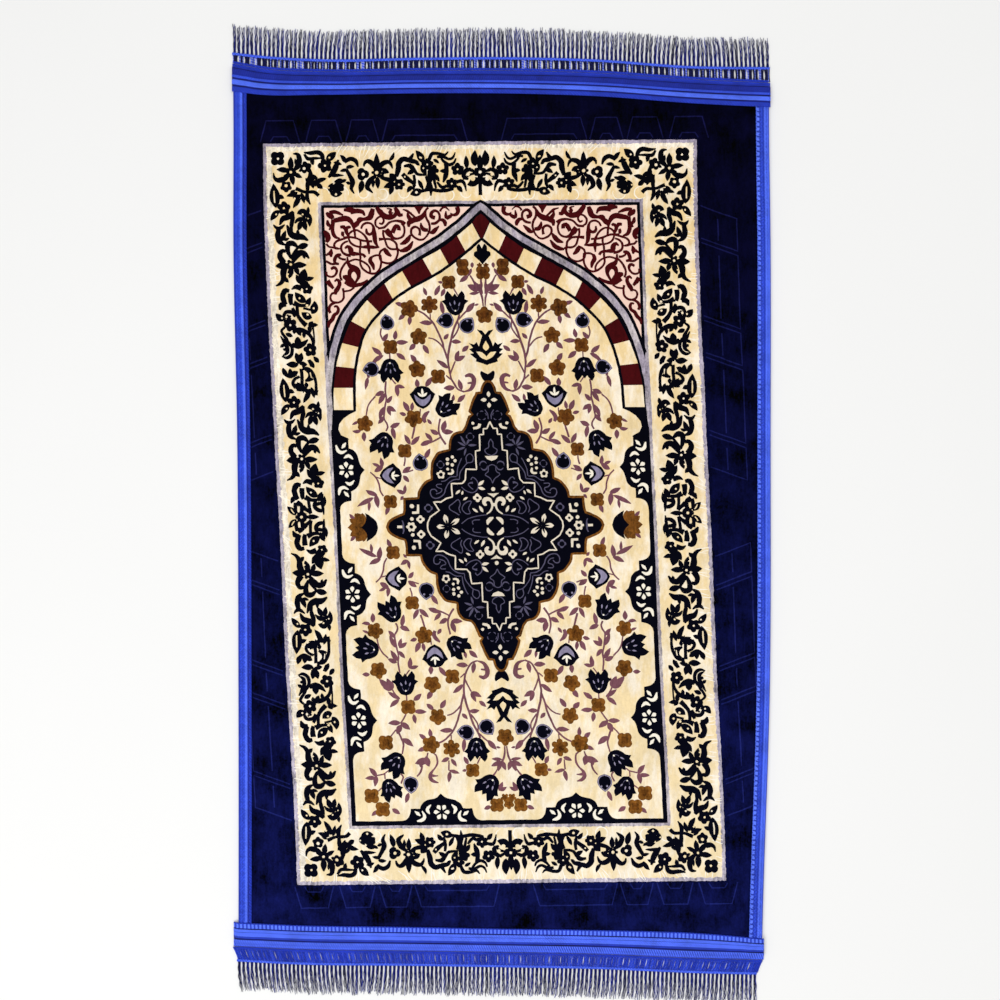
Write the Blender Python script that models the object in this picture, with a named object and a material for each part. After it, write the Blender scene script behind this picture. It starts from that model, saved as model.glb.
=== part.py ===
"""Plush prayer rug, lying flat with its pile up.

Metres, +Z up, +Y towards the arch of the design, origin on the floor under the middle of the rug.
A one-piece pile cloth is edged by a folded braid along each side and by a ribbed tape across each end.
Outside each tape lies its fringe: a header strip, an open net of yarn bundles, a chain line and loose locks.
Tables are in millimetres, and every length taken from them is turned into metres by MM.
"""

import random
from collections import namedtuple

import bmesh
import bpy
import numpy as np

MM = 0.001

# Heights above the floor
PILE_TOP = 6.0 * MM  # the brushed pile of the open cloth
PRESSED_TOP = 3.3 * MM  # the cloth where a braid or a tape is sewn down on it
PRESSED_UNDER = 1.1 * MM  # its underside, where a braid is folded beneath it
BRAID_FLAT_TOP = 4.4 * MM  # a side braid where an end tape crosses it
CLEAR = 0.3 * MM  # between pieces that touch

# Across the side braids
BRAID_WIDTH = 17.9 * MM
CLOTH_INSET = 2.4 * MM  # from a braid's outer edge to the cut edge inside its fold
SHOULDER = 4.0 * MM  # over which the pile rises from a sewn edge to its full height

# Along the end tapes
TAPE_PAST_CLOTH = 7.5 * MM  # from the cut end of the cloth to the tape's outer edge
TAPE_BEND = 0.6 * MM  # past the cut end before the tape turns down
DROOP = 0.9  # fall of a tape's free end for each unit that it runs past the side braid
TAPE_RAMP = 8.0 * MM  # over which a tape climbs onto a side braid

# Fringe
LOCKS = 62  # pairs of loose strands at each end
YARN_HEIGHT = 1.6 * MM
HEADER_WIDTH = 3.0 * MM
CHAIN_WIDTH = 4.6 * MM
BUNDLE_SHARE = 0.44  # of a lock's pitch, the rest is the gap in the net
STRAND_LENGTH = 40.0 * MM
STRAND_ROOT = 2.6 * MM
STRAND_MIDDLE = 1.9 * MM
STRAND_SPREAD = 0.25  # of the pitch, from a lock's middle to each of its strands
STRAND_BEND_AT = 0.55  # share of a strand's length where it bends
STRAND_BEND = 0.5 * MM  # to either side, at that bend
STRAND_SHORTER = 2.5 * MM  # most that a strand falls short of the full length
SWAY = 4.5 * MM  # most that the tips lean sideways, changing slowly along the fringe
SWAYS = 12  # places along the fringe where the lean is set
SPLAY = 0.35 * MM  # by which a lock's two tips lean apart
NET_START = 0.2  # depth of the net's gaps between the tape at 0 and the chain line at 1
NET_END = 0.85

SideEdge = namedtuple("SideEdge", "y left right")
SIDE_EDGES = (  # the braids' outer edges
    SideEdge(y=600, left=-356.6, right=355.4),
    SideEdge(y=520, left=-356.0, right=355.4),
    SideEdge(y=350, left=-356.0, right=357.4),
    SideEdge(y=110, left=-351.2, right=357.4),
    SideEdge(y=-235, left=-349.4, right=356.3),
    SideEdge(y=-550, left=-349.4, right=346.6),
    SideEdge(y=-600, left=-349.6, right=345.6),
)

TapeLine = namedtuple("TapeLine", "x inner outer chain")
TOP_LINES = (
    TapeLine(x=-358, inner=560.0, outer=598.0, chain=611.0),
    TapeLine(x=-318, inner=555.5, outer=591.0, chain=606.5),
    TapeLine(x=-240, inner=555.5, outer=587.0, chain=602.0),
    TapeLine(x=-108, inner=557.5, outer=588.5, chain=604.0),
    TapeLine(x=25, inner=557.0, outer=588.0, chain=604.5),
    TapeLine(x=130, inner=553.5, outer=585.0, chain=601.5),
    TapeLine(x=250, inner=544.5, outer=577.0, chain=593.0),
    TapeLine(x=357, inner=539.0, outer=572.0, chain=591.5),
)
BOTTOM_LINES = (
    TapeLine(x=-357, inner=-542.5, outer=-575.0, chain=-593.5),
    TapeLine(x=-267, inner=-546.5, outer=-579.0, chain=-598.0),
    TapeLine(x=-135, inner=-548.5, outer=-581.0, chain=-599.5),
    TapeLine(x=-2, inner=-551.0, outer=-583.0, chain=-601.5),
    TapeLine(x=130, inner=-553.0, outer=-585.5, chain=-604.0),
    TapeLine(x=263, inner=-557.0, outer=-591.0, chain=-609.5),
    TapeLine(x=350, inner=-564.5, outer=-593.0, chain=-611.5),
)

# overhang: how far a tape runs past the side braids; tuck: how far its chain line draws in at each side
End = namedtuple("End", "name lines away left_overhang right_overhang left_tuck right_tuck seed")
ENDS = (
    End("top", TOP_LINES, 1, 1.4, 1.6, 0.0, 0.5, 11),
    End("bottom", BOTTOM_LINES, -1, 6.4, 2.0, 4.5, 9.0, 23),
)

BraidPoint = namedtuple("BraidPoint", "inset outer_z rib inner_inset inner_z")
BRAID_SECTION = (  # from the top flap's edge over the fold to the bottom flap's edge
    BraidPoint(inset=17.9, outer_z=4.2, rib=0.0, inner_inset=17.9, inner_z=3.6),
    BraidPoint(inset=15.2, outer_z=4.4, rib=0.7, inner_inset=15.2, inner_z=3.6),
    BraidPoint(inset=11.6, outer_z=4.4, rib=0.7, inner_inset=11.6, inner_z=3.6),
    BraidPoint(inset=9.3, outer_z=4.3, rib=0.0, inner_inset=9.3, inner_z=3.6),
    BraidPoint(inset=7.0, outer_z=4.4, rib=0.7, inner_inset=7.0, inner_z=3.6),
    BraidPoint(inset=3.2, outer_z=4.4, rib=0.7, inner_inset=3.2, inner_z=3.6),
    BraidPoint(inset=0.8, outer_z=3.9, rib=0.1, inner_inset=1.7, inner_z=3.6),
    BraidPoint(inset=0.0, outer_z=2.3, rib=0.0, inner_inset=1.0, inner_z=2.3),
    BraidPoint(inset=0.7, outer_z=0.5, rib=0.0, inner_inset=1.5, inner_z=0.95),
    BraidPoint(inset=2.2, outer_z=0.0, rib=0.0, inner_inset=2.6, inner_z=0.8),
    BraidPoint(inset=17.3, outer_z=0.0, rib=0.0, inner_inset=17.3, inner_z=0.8),
)

TapePoint = namedtuple("TapePoint", "share thick")
TAPE_ON_CLOTH = (  # share of the way from the tape's inner edge to the cut end of the cloth
    TapePoint(share=0.00, thick=0.9),
    TapePoint(share=0.05, thick=1.5),
    TapePoint(share=0.18, thick=1.5),
    TapePoint(share=0.25, thick=1.0),
    TapePoint(share=0.34, thick=1.9),
    TapePoint(share=0.48, thick=1.9),
    TapePoint(share=0.54, thick=1.2),
    TapePoint(share=0.61, thick=1.8),
    TapePoint(share=0.74, thick=1.8),
    TapePoint(share=0.83, thick=1.0),
    TapePoint(share=0.93, thick=1.3),
)
TapeEdge = namedtuple("TapeEdge", "past thick")
TAPE_PAST_END = (  # millimetres past the cut end of the cloth
    TapeEdge(past=0.6, thick=1.3),
    TapeEdge(past=5.3, thick=1.4),
    TapeEdge(past=7.5, thick=1.0),
)

PILE_ROWS = 16
PILE_COLUMNS = 15
BRAID_STATIONS = 14
TAPE_STATIONS = 19
SETTLING_TURNS = 8  # enough for places that depend on both curved edges to stop moving
SHARP_ANGLE = 0.6  # radians between faces that meet in an edge
WELD = 0.01 * MM


def empty_scene():
    for left_over in list(bpy.data.objects):
        bpy.data.objects.remove(left_over)


def new_material(name, colour, roughness):
    material = bpy.data.materials.new(name)
    material.use_nodes = True
    shader = material.node_tree.nodes["Principled BSDF"]
    shader.inputs["Base Color"].default_value = (*colour, 1.0)
    shader.inputs["Roughness"].default_value = roughness
    shader.inputs["Metallic"].default_value = 0.0
    return material


def smooth_line(table, key, column):
    """A function of one column that runs smoothly through a table's rows, and on straight past its ends."""
    rows = sorted(table, key=lambda row: getattr(row, key))
    at = np.array([getattr(row, key) for row in rows]) * MM
    value = np.array([getattr(row, column) for row in rows]) * MM
    slope = np.gradient(value, at)

    def line(where):
        where = np.asarray(where, dtype=float)
        i = np.clip(np.searchsorted(at, where) - 1, 0, len(at) - 2)
        span = at[i + 1] - at[i]
        t = np.clip((where - at[i]) / span, 0.0, 1.0)
        low = (2 * t**3 - 3 * t**2 + 1) * value[i] + (t**3 - 2 * t**2 + t) * span * slope[i]
        high = (3 * t**2 - 2 * t**3) * value[i + 1] + (t**3 - t**2) * span * slope[i + 1]
        before = np.minimum(where - at[0], 0.0) * slope[0]
        after = np.maximum(where - at[-1], 0.0) * slope[-1]
        return low + high + before + after

    return line


left_edge = smooth_line(SIDE_EDGES, "y", "left")
right_edge = smooth_line(SIDE_EDGES, "y", "right")
TAPE_INNER = {end.name: smooth_line(end.lines, "x", "inner") for end in ENDS}
TAPE_OUTER = {end.name: smooth_line(end.lines, "x", "outer") for end in ENDS}
CHAIN = {end.name: smooth_line(end.lines, "x", "chain") for end in ENDS}


def top_cut(x):
    return TAPE_OUTER["top"](x) - TAPE_PAST_CLOTH


def bottom_cut(x):
    return TAPE_OUTER["bottom"](x) + TAPE_PAST_CLOTH


def settle(x_rule, y_rule):
    """The points where both rules hold: x depends a little on y, and y a little on x."""
    y = y_rule(0.0)
    x = x_rule(y)
    for _ in range(SETTLING_TURNS):
        y = y_rule(x)
        x = x_rule(y)
    return x, y


def closed_sheet(name, face, back, material, collection):
    """A solid between two grids of points, each indexed by station, point and coordinate."""
    stations, points = face.shape[:2]
    mesh = bmesh.new()
    grids = [[[mesh.verts.new(p) for p in row] for row in grid] for grid in (face, back)]
    for grid in grids:
        for j in range(stations - 1):
            for i in range(points - 1):
                mesh.faces.new((grid[j][i], grid[j][i + 1], grid[j + 1][i + 1], grid[j + 1][i]))
    front, rear = grids
    rim = [(j, 0) for j in range(stations)] + [(stations - 1, i) for i in range(1, points)]
    rim += [(j, points - 1) for j in range(stations - 2, -1, -1)] + [(0, i) for i in range(points - 2, 0, -1)]
    for (j, i), (k, m) in zip(rim, rim[1:] + rim[:1]):
        mesh.faces.new((front[j][i], front[k][m], rear[k][m], rear[j][i]))
    bmesh.ops.recalc_face_normals(mesh, faces=mesh.faces)
    return add_piece(name, mesh, material, collection)


def add_piece(name, mesh, material, collection):
    data = bpy.data.meshes.new(name)
    mesh.to_mesh(data)
    mesh.free()
    data.materials.append(material)
    data.shade_smooth()
    data.set_sharp_from_angle(angle=SHARP_ANGLE)
    piece = bpy.data.objects.new(name, data)
    collection.objects.link(piece)
    return piece


def stepped(low, high, insets, middle):
    """Places from low to high: the insets from each end, with evenly spaced ones between them."""
    insets = np.array(insets)
    shares = np.linspace(0.0, 1.0, middle + 2)[1:-1]
    inner_low = low + insets[-1]
    inner_high = high - insets[-1]
    between = inner_low[..., None] + shares * (inner_high - inner_low)[..., None]
    starts = low[..., None] + insets
    ends = high[..., None] - insets[::-1]
    return np.concatenate([starts, between, ends], axis=-1)


def pile_cloth(material, collection):
    """The plush: full height in the open, pressed thin where the braids and tapes are sewn on."""
    under_braid = BRAID_WIDTH - CLOTH_INSET + CLEAR
    side_insets = (0.0, under_braid, under_braid + SHOULDER)
    end_rows = 3  # at each end: the cut, the tape's inner edge and the top of the shoulder
    columns = 2 * len(side_insets) + PILE_COLUMNS
    rows = 2 * end_rows + PILE_ROWS
    x = np.zeros((rows, columns))
    for _ in range(SETTLING_TURNS):
        under_top = TAPE_OUTER["top"](x[-1]) - TAPE_INNER["top"](x[-1]) - TAPE_PAST_CLOTH + CLEAR
        under_bottom = TAPE_INNER["bottom"](x[0]) - TAPE_OUTER["bottom"](x[0]) - TAPE_PAST_CLOTH + CLEAR
        low, high = bottom_cut(x[0]), top_cut(x[-1])
        first = np.stack([low, low + under_bottom, low + under_bottom + SHOULDER])
        last = np.stack([high - under_top - SHOULDER, high - under_top, high])
        share = np.linspace(0.0, 1.0, PILE_ROWS + 2)[1:-1, None]
        y = np.concatenate([first, first[-1] + share * (last[0] - first[-1]), last])
        edge_low = left_edge(y[:, 0]) + CLOTH_INSET
        edge_high = right_edge(y[:, -1]) - CLOTH_INSET
        x = stepped(edge_low, edge_high, side_insets, PILE_COLUMNS)
    top = np.full((rows, columns), PILE_TOP)
    under = np.zeros((rows, columns))
    top[:2] = top[-2:] = PRESSED_TOP
    top[:, :2] = top[:, -2:] = PRESSED_TOP
    under[:, :2] = under[:, -2:] = PRESSED_UNDER
    face = np.stack([x, y, top], axis=-1)
    back = np.stack([x, y, under], axis=-1)
    return closed_sheet("pile_cloth", face, back, material, collection)


def along_braid(share):
    """A rule for y between the end tapes: share 0 is where the bottom tape ends, and 1 the top tape."""

    def rule(x):
        low = TAPE_INNER["bottom"](x) + CLEAR + SHOULDER
        high = TAPE_INNER["top"](x) - CLEAR - SHOULDER
        return low + share * (high - low)

    return rule


def side_braid(name, edge, inward, material, collection):
    """A flat braid folded over one side of the cloth, with two ribs that flatten out under the end tapes."""
    open_rules = [along_braid(share) for share in np.linspace(0.0, 1.0, BRAID_STATIONS)]
    rules = [bottom_cut, lambda x: TAPE_INNER["bottom"](x) + CLEAR]
    rules += open_rules
    rules += [lambda x: TAPE_INNER["top"](x) - CLEAR, top_cut]
    face = []
    back = []
    for rule in rules:
        raised = 1.0 if rule in open_rules else 0.0
        outer_row = []
        inner_row = []
        for p in BRAID_SECTION:
            x, y = settle(lambda y, p=p: edge(y) + inward * p.inset * MM, rule)
            outer_row.append((x, y, (p.outer_z + p.rib * raised) * MM))
            x, y = settle(lambda y, p=p: edge(y) + inward * p.inner_inset * MM, rule)
            inner_row.append((x, y, p.inner_z * MM))
        face.append(outer_row)
        back.append(inner_row)
    return closed_sheet(name, np.array(face), np.array(back), material, collection)


def tape_sides(end):
    """x of a tape's two ends, and of the braids' outer edges beneath it."""
    inner = TAPE_INNER[end.name]
    _, left_y = settle(left_edge, inner)
    _, right_y = settle(right_edge, inner)
    left, right = float(left_edge(left_y)), float(right_edge(right_y))
    return left - end.left_overhang * MM, left, right, right + end.right_overhang * MM


def tape_stations(end):
    """Along a tape: x, and the height of its underside there, which climbs onto both side braids."""
    tape_left, braid_left, braid_right, tape_right = tape_sides(end)
    on_braid = BRAID_WIDTH + 2 * CLEAR
    over_cloth = PRESSED_TOP + CLEAR
    over_braid = BRAID_FLAT_TOP + CLEAR
    low, high = braid_left + on_braid + TAPE_RAMP, braid_right - on_braid - TAPE_RAMP
    return [
        (tape_left, max(0.0, over_braid - DROOP * end.left_overhang * MM)),
        (braid_left, over_braid),
        (braid_left + on_braid, over_braid),
        *((x, over_cloth) for x in np.linspace(low, high, TAPE_STATIONS)),
        (braid_right - on_braid, over_braid),
        (braid_right, over_braid),
        (tape_right, max(0.0, over_braid - DROOP * end.right_overhang * MM)),
    ]


def end_tape(end, material, collection):
    """A ribbed tape over the cloth's end, which bends down to the floor past the cut end."""
    face = []
    back = []
    for x, level in tape_stations(end):
        inner, outer = TAPE_INNER[end.name](x), TAPE_OUTER[end.name](x)
        cut = outer - end.away * TAPE_PAST_CLOTH
        across = [(inner + p.share * (cut - inner), level, p.thick * MM) for p in TAPE_ON_CLOTH]
        for p in TAPE_PAST_END:
            drop = max(0.0, p.past * MM - TAPE_BEND)
            across.append((cut + end.away * p.past * MM, max(0.0, level - drop), p.thick * MM))
        back.append([(x, y, z) for y, z, thick in across])
        face.append([(x, y, z + thick) for y, z, thick in across])
    return closed_sheet(f"end_tape_{end.name}", np.array(face), np.array(back), material, collection)


def outline_curve(name, loops, height):
    """A flat outline with its holes, filled on both sides and resting on the floor."""
    curve = bpy.data.curves.new(name, "CURVE")
    curve.dimensions = "2D"
    curve.fill_mode = "BOTH"
    curve.extrude = height / 2
    for loop in loops:
        spline = curve.splines.new("POLY")
        spline.points.add(len(loop) - 1)
        for point, (x, y) in zip(spline.points, loop):
            point.co = (x, y, 0.0, 1.0)
        spline.use_cyclic_u = True
    piece = bpy.data.objects.new(name, curve)
    piece.location.z = height / 2
    return piece


def curve_to_mesh(guide, material, collection):
    """The same shape as one closed mesh, with the curve's loose caps welded on."""
    collection.objects.link(guide)
    bpy.context.view_layer.update()
    depsgraph = bpy.context.evaluated_depsgraph_get()
    data = bpy.data.meshes.new_from_object(guide.evaluated_get(depsgraph))
    mesh = bmesh.new()
    mesh.from_mesh(data)
    bmesh.ops.remove_doubles(mesh, verts=mesh.verts, dist=WELD)
    mesh.transform(guide.matrix_world)
    bmesh.ops.recalc_face_normals(mesh, faces=mesh.faces)
    name = guide.name
    bpy.data.objects.remove(guide)
    bpy.data.meshes.remove(data)
    return add_piece(name, mesh, material, collection)


def fringe(end, material, collection):
    """A header strip along the tape, a net of bundles, a chain line, and two loose strands for each lock."""
    tape_left, _, _, tape_right = tape_sides(end)
    outer, chain = TAPE_OUTER[end.name], CHAIN[end.name]
    rng = random.Random(end.seed)
    sways = [rng.uniform(-SWAY, SWAY) for _ in range(SWAYS)]
    leans = np.interp(np.linspace(0.0, 1.0, LOCKS), np.linspace(0.0, 1.0, SWAYS), sways)

    def across(share, depth):
        """x at a share of the fringe's width, drawn in as depth goes from 0 at the tape to 1 at the chain."""
        low = tape_left + end.left_tuck * MM * depth
        high = tape_right - end.right_tuck * MM * depth
        return low + share * (high - low)

    def header_y(x):
        return outer(x) + end.away * CLEAR

    def chain_y(x, side):
        return chain(x) + end.away * side * CHAIN_WIDTH / 2

    pitch = 1.0 / LOCKS
    header = [(x, header_y(x)) for x, level in tape_stations(end)]
    comb = []
    windows = []
    for k in range(LOCKS):
        middle = (k + 0.5) * pitch
        for side in (-1, 1):
            root = across(middle + side * STRAND_SPREAD * pitch, 1.0)
            lean = leans[k] + side * SPLAY
            length = STRAND_LENGTH - rng.uniform(0.0, STRAND_SHORTER)
            bend = rng.uniform(-STRAND_BEND, STRAND_BEND)
            base = chain_y(root, 1)
            half = STRAND_ROOT / 2
            middle_y = base + end.away * STRAND_BEND_AT * length
            middle_x = root + STRAND_BEND_AT**2 * lean + bend
            comb.append((root - half, base))
            comb.append((middle_x - STRAND_MIDDLE / 2, middle_y))
            comb.append((root + lean, base + end.away * length))
            comb.append((middle_x + STRAND_MIDDLE / 2, middle_y))
            comb.append((root + half, base))
        if k + 1 < LOCKS:
            gap_middle = (k + 1) * pitch
            gap_half = (1 - BUNDLE_SHARE) * pitch / 2
            at_header = [across(gap_middle + side * gap_half, NET_START) for side in (-1, 1)]
            at_chain = [across(gap_middle + side * gap_half, NET_END) for side in (1, -1)]
            window = [(x, header_y(x) + end.away * HEADER_WIDTH) for x in at_header]
            window += [(x, chain_y(x, -1)) for x in at_chain]
            windows.append(window)
    first, last = across(0.0, 1.0), across(1.0, 1.0)
    comb = [(first, chain_y(first, -1)), (first, chain_y(first, 1)), *comb]
    comb += [(last, chain_y(last, 1)), (last, chain_y(last, -1))]
    loop = header + comb[::-1]
    guide = outline_curve(f"fringe_{end.name}", [loop, *windows], YARN_HEIGHT)
    return curve_to_mesh(guide, material, collection)


def main():
    empty_scene()
    collection = bpy.data.collections.new("prayer_rug")
    bpy.context.scene.collection.children.link(collection)
    pile = new_material("pile", (0.80, 0.66, 0.42), 0.95)
    braid = new_material("side_braid", (0.05, 0.08, 0.55), 0.6)
    tape = new_material("end_tape", (0.04, 0.07, 0.50), 0.55)
    yarn = new_material("fringe_yarn", (0.02, 0.03, 0.35), 0.7)
    pile_cloth(pile, collection)
    side_braid("side_braid_left", left_edge, 1, braid, collection)
    side_braid("side_braid_right", right_edge, -1, braid, collection)
    for end in ENDS:
        end_tape(end, tape, collection)
        fringe(end, yarn, collection)


main()
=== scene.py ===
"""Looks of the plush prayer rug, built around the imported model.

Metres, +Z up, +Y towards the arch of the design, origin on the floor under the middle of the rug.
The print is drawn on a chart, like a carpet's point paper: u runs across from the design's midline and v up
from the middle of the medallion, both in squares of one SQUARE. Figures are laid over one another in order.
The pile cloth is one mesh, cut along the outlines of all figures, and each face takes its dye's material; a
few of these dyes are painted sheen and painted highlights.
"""

import math
import random
from collections import namedtuple

import bpy
import numpy as np
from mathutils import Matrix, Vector
from mathutils.geometry import delaunay_2d_cdt


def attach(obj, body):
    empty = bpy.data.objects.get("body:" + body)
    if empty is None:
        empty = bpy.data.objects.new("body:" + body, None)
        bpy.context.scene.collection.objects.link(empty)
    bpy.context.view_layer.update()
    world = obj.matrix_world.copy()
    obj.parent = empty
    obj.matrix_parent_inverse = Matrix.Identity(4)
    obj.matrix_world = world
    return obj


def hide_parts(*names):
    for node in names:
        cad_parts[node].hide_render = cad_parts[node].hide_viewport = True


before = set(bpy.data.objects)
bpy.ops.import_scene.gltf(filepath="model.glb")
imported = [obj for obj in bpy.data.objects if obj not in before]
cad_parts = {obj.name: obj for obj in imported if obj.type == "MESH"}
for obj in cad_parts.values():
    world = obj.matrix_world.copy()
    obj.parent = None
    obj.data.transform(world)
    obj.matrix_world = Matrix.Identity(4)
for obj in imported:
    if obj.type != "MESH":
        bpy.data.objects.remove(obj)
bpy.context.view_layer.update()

MM = 0.001
BODY = "root"

# The photograph's frame, on the floor
FRAME_SIDE = 1.326
FRAME_MIDDLE = (-0.002, 0.0178)
CAMERA_HEIGHT = 2.3

# The cloth, as it was cut and sewn
PILE_TOP = 6.0 * MM
PRESSED_TOP = 3.3 * MM
PRESSED_UNDER = 1.1 * MM
CLEAR = 0.3 * MM
BRAID_WIDTH = 17.9 * MM
CLOTH_INSET = 2.4 * MM
SHOULDER = 4.0 * MM
TAPE_PAST_CLOTH = 7.5 * MM
TAPE_BEND = 0.6 * MM
DROOP = 0.9
TAPE_RAMP = 8.0 * MM
BRAID_FLAT_TOP = 4.4 * MM
SETTLING_TURNS = 8


def rows(kind, table):
    return tuple(kind(*row) for row in table)


SideEdge = namedtuple("SideEdge", "y left right")
SIDE_EDGES = rows(SideEdge, (  # millimetres, the braids' outer edges
    (600, -356.6, 355.4), (520, -356.0, 355.4), (350, -356.0, 357.4), (110, -351.2, 357.4),
    (-235, -349.4, 356.3), (-550, -349.4, 346.6), (-600, -349.6, 345.6),
))
TapeLine = namedtuple("TapeLine", "x inner outer chain")
TOP_LINES = rows(TapeLine, (
    (-358, 560.0, 598.0, 611.0), (-318, 555.5, 591.0, 606.5), (-240, 555.5, 587.0, 602.0),
    (-108, 557.5, 588.5, 604.0), (25, 557.0, 588.0, 604.5), (130, 553.5, 585.0, 601.5),
    (250, 544.5, 577.0, 593.0), (357, 539.0, 572.0, 591.5),
))
BOTTOM_LINES = rows(TapeLine, (
    (-357, -542.5, -575.0, -593.5), (-267, -546.5, -579.0, -598.0), (-135, -548.5, -581.0, -599.5),
    (-2, -551.0, -583.0, -601.5), (130, -553.0, -585.5, -604.0), (263, -557.0, -591.0, -609.5),
    (350, -564.5, -593.0, -611.5),
))
End = namedtuple("End", "name lines away left_overhang right_overhang left_tuck right_tuck seed")
ENDS = (
    End("top", TOP_LINES, 1, 1.4, 1.6, 0.0, 0.5, 11),
    End("bottom", BOTTOM_LINES, -1, 6.4, 2.0, 4.5, 9.0, 23),
)

# The design's chart
SQUARE = 1.326 * MM
CHART_MIDDLE_Y = -16.7 * MM  # the medallion's middle, from the rug's
CHART_LEAN = 0.0105  # the print runs slightly up to the right
ChartLine = namedtuple("ChartLine", "v middle")
CHART_MIDDLES = rows(ChartLine, (  # where the design's midline lies across the rug, in millimetres
    (384.5, -28.8), (300, -27.1), (255, -24.7), (200, -22.0), (144, -18.0), (75, -13.7), (0, -8.4),
    (-143, -0.3), (-298, 10.9), (-357, 13.4),
))
CHART_SPREAD = 0.9985  # across, at the medallion
CHART_SPREAD_RISE = 1.56e-5  # for each square further up
HILLS_REACH = 1.2  # metres from the rug's middle, over which random hills are laid


# ---- lines


def smooth_line(table, key, column, unit=MM):
    """A function of one column that runs smoothly through a table's rows, and on straight past its ends."""
    rows = sorted(table, key=lambda row: getattr(row, key))
    at = np.array([getattr(row, key) for row in rows]) * unit
    value = np.array([getattr(row, column) for row in rows]) * MM
    slope = np.gradient(value, at)

    def line(where):
        where = np.asarray(where, dtype=float)
        i = np.clip(np.searchsorted(at, where) - 1, 0, len(at) - 2)
        span = at[i + 1] - at[i]
        t = np.clip((where - at[i]) / span, 0.0, 1.0)
        low = (2 * t**3 - 3 * t**2 + 1) * value[i] + (t**3 - 2 * t**2 + t) * span * slope[i]
        high = (3 * t**2 - 2 * t**3) * value[i + 1] + (t**3 - t**2) * span * slope[i + 1]
        before = np.minimum(where - at[0], 0.0) * slope[0]
        after = np.maximum(where - at[-1], 0.0) * slope[-1]
        return low + high + before + after

    return line


left_edge = smooth_line(SIDE_EDGES, "y", "left")
right_edge = smooth_line(SIDE_EDGES, "y", "right")
TAPE_INNER = {end.name: smooth_line(end.lines, "x", "inner") for end in ENDS}
TAPE_OUTER = {end.name: smooth_line(end.lines, "x", "outer") for end in ENDS}
CHAIN = {end.name: smooth_line(end.lines, "x", "chain") for end in ENDS}
chart_middle = smooth_line(CHART_MIDDLES, "v", "middle", unit=1.0)


def settle(x_rule, y_rule):
    """The points where both rules hold: x depends a little on y, and y a little on x."""
    y = y_rule(0.0)
    x = x_rule(y)
    for _ in range(SETTLING_TURNS):
        y = y_rule(x)
        x = x_rule(y)
    return x, y


def uneven(size, seed):
    """Soft random hills from -1 to 1 over the floor, about size metres apart."""
    cells = int(2 * HILLS_REACH / size) + 4
    heights = np.random.default_rng(seed).uniform(-1.0, 1.0, (cells, cells))

    def height(x, y):
        across = (np.asarray(x) + HILLS_REACH) / size
        along = (np.asarray(y) + HILLS_REACH) / size
        i = np.clip(across.astype(int), 0, cells - 2)
        j = np.clip(along.astype(int), 0, cells - 2)
        a, b = eased(across - i), eased(along - j)
        low = heights[i, j] * (1 - a) + heights[i + 1, j] * a
        high = heights[i, j + 1] * (1 - a) + heights[i + 1, j + 1] * a
        return low * (1 - b) + high * b

    return height


def eased(t):
    t = np.clip(t, 0.0, 1.0)
    return t * t * (3 - 2 * t)


# ---- shapes on the chart

DRAWN_STEP = 1.6  # squares between the points of a drawn outline
LEAF_ROUNDNESS = 0.85
PETAL_ROUNDNESS = 0.7
BOTH = ((1, 1), (-1, 1))
FOUR = ((1, 1), (-1, 1), (1, -1), (-1, -1))
ONCE = ((1, 1),)


def points(*pairs):
    return np.array(pairs, dtype=float)


def evenly(line, step):
    """The same line with points about one step apart."""
    lengths = np.hypot(*np.diff(line, axis=0).T)
    run = np.concatenate([[0.0], np.cumsum(lengths)])
    count = max(2, int(round(run[-1] / step)) + 1)
    at = np.linspace(0.0, run[-1], count)
    return np.stack([np.interp(at, run, line[:, 0]), np.interp(at, run, line[:, 1])], axis=1)


def cornered(line, step=DRAWN_STEP, closed=False):
    """Points along straight runs, with every corner kept."""
    line = np.asarray(line, dtype=float)
    ends = np.vstack([line[1:], line[:1]]) if closed else line[1:]
    runs = []
    for start, stop in zip(line, ends):
        count = max(1, int(round(np.hypot(*(stop - start)) / step)))
        shares = np.arange(count)[:, None] / count
        runs.append(start + shares * (stop - start))
    if not closed:
        runs.append(line[-1:])
    return np.concatenate(runs)


def curved(line, step=DRAWN_STEP):
    """A smooth line through a few points."""
    line = np.asarray(line, dtype=float)
    before = np.vstack([2 * line[0] - line[1], line[:-1]])
    after = np.vstack([line[1:], 2 * line[-1] - line[-2]])
    slopes = (after - before) / 2
    runs = []
    for a, b, da, db in zip(line, line[1:], slopes, slopes[1:]):
        count = max(2, int(round(np.hypot(*(b - a)) / step * 2)))
        t = np.arange(count)[:, None] / count
        runs.append(
            (2 * t**3 - 3 * t**2 + 1) * a
            + (t**3 - 2 * t**2 + t) * da
            + (3 * t**2 - 2 * t**3) * b
            + (t**3 - t**2) * db
        )
    return evenly(np.concatenate([*runs, line[-1:]]), step)


def outlined(*runs, mirrored=False, step=DRAWN_STEP):
    """An outline of smooth runs that meet in corners. Each run starts in the corner where the last one ended.

    Mirrored, the runs are the right half from bottom to top.
    """
    whole = [runs[0], *((before[-1], *run) for before, run in zip(runs, runs[1:]))]
    line = np.vstack([*(curved(run, step)[:-1] for run in whole), runs[-1][-1]])
    return np.vstack([line, line[-2:0:-1] * (-1, 1)]) if mirrored else line


def across_line(line):
    """Unit steps to the left of each point of an open line."""
    ahead = np.gradient(line, axis=0)
    ahead /= np.maximum(np.hypot(ahead[:, 0], ahead[:, 1]), 1e-9)[:, None]
    return np.stack([-ahead[:, 1], ahead[:, 0]], axis=1)


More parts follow.
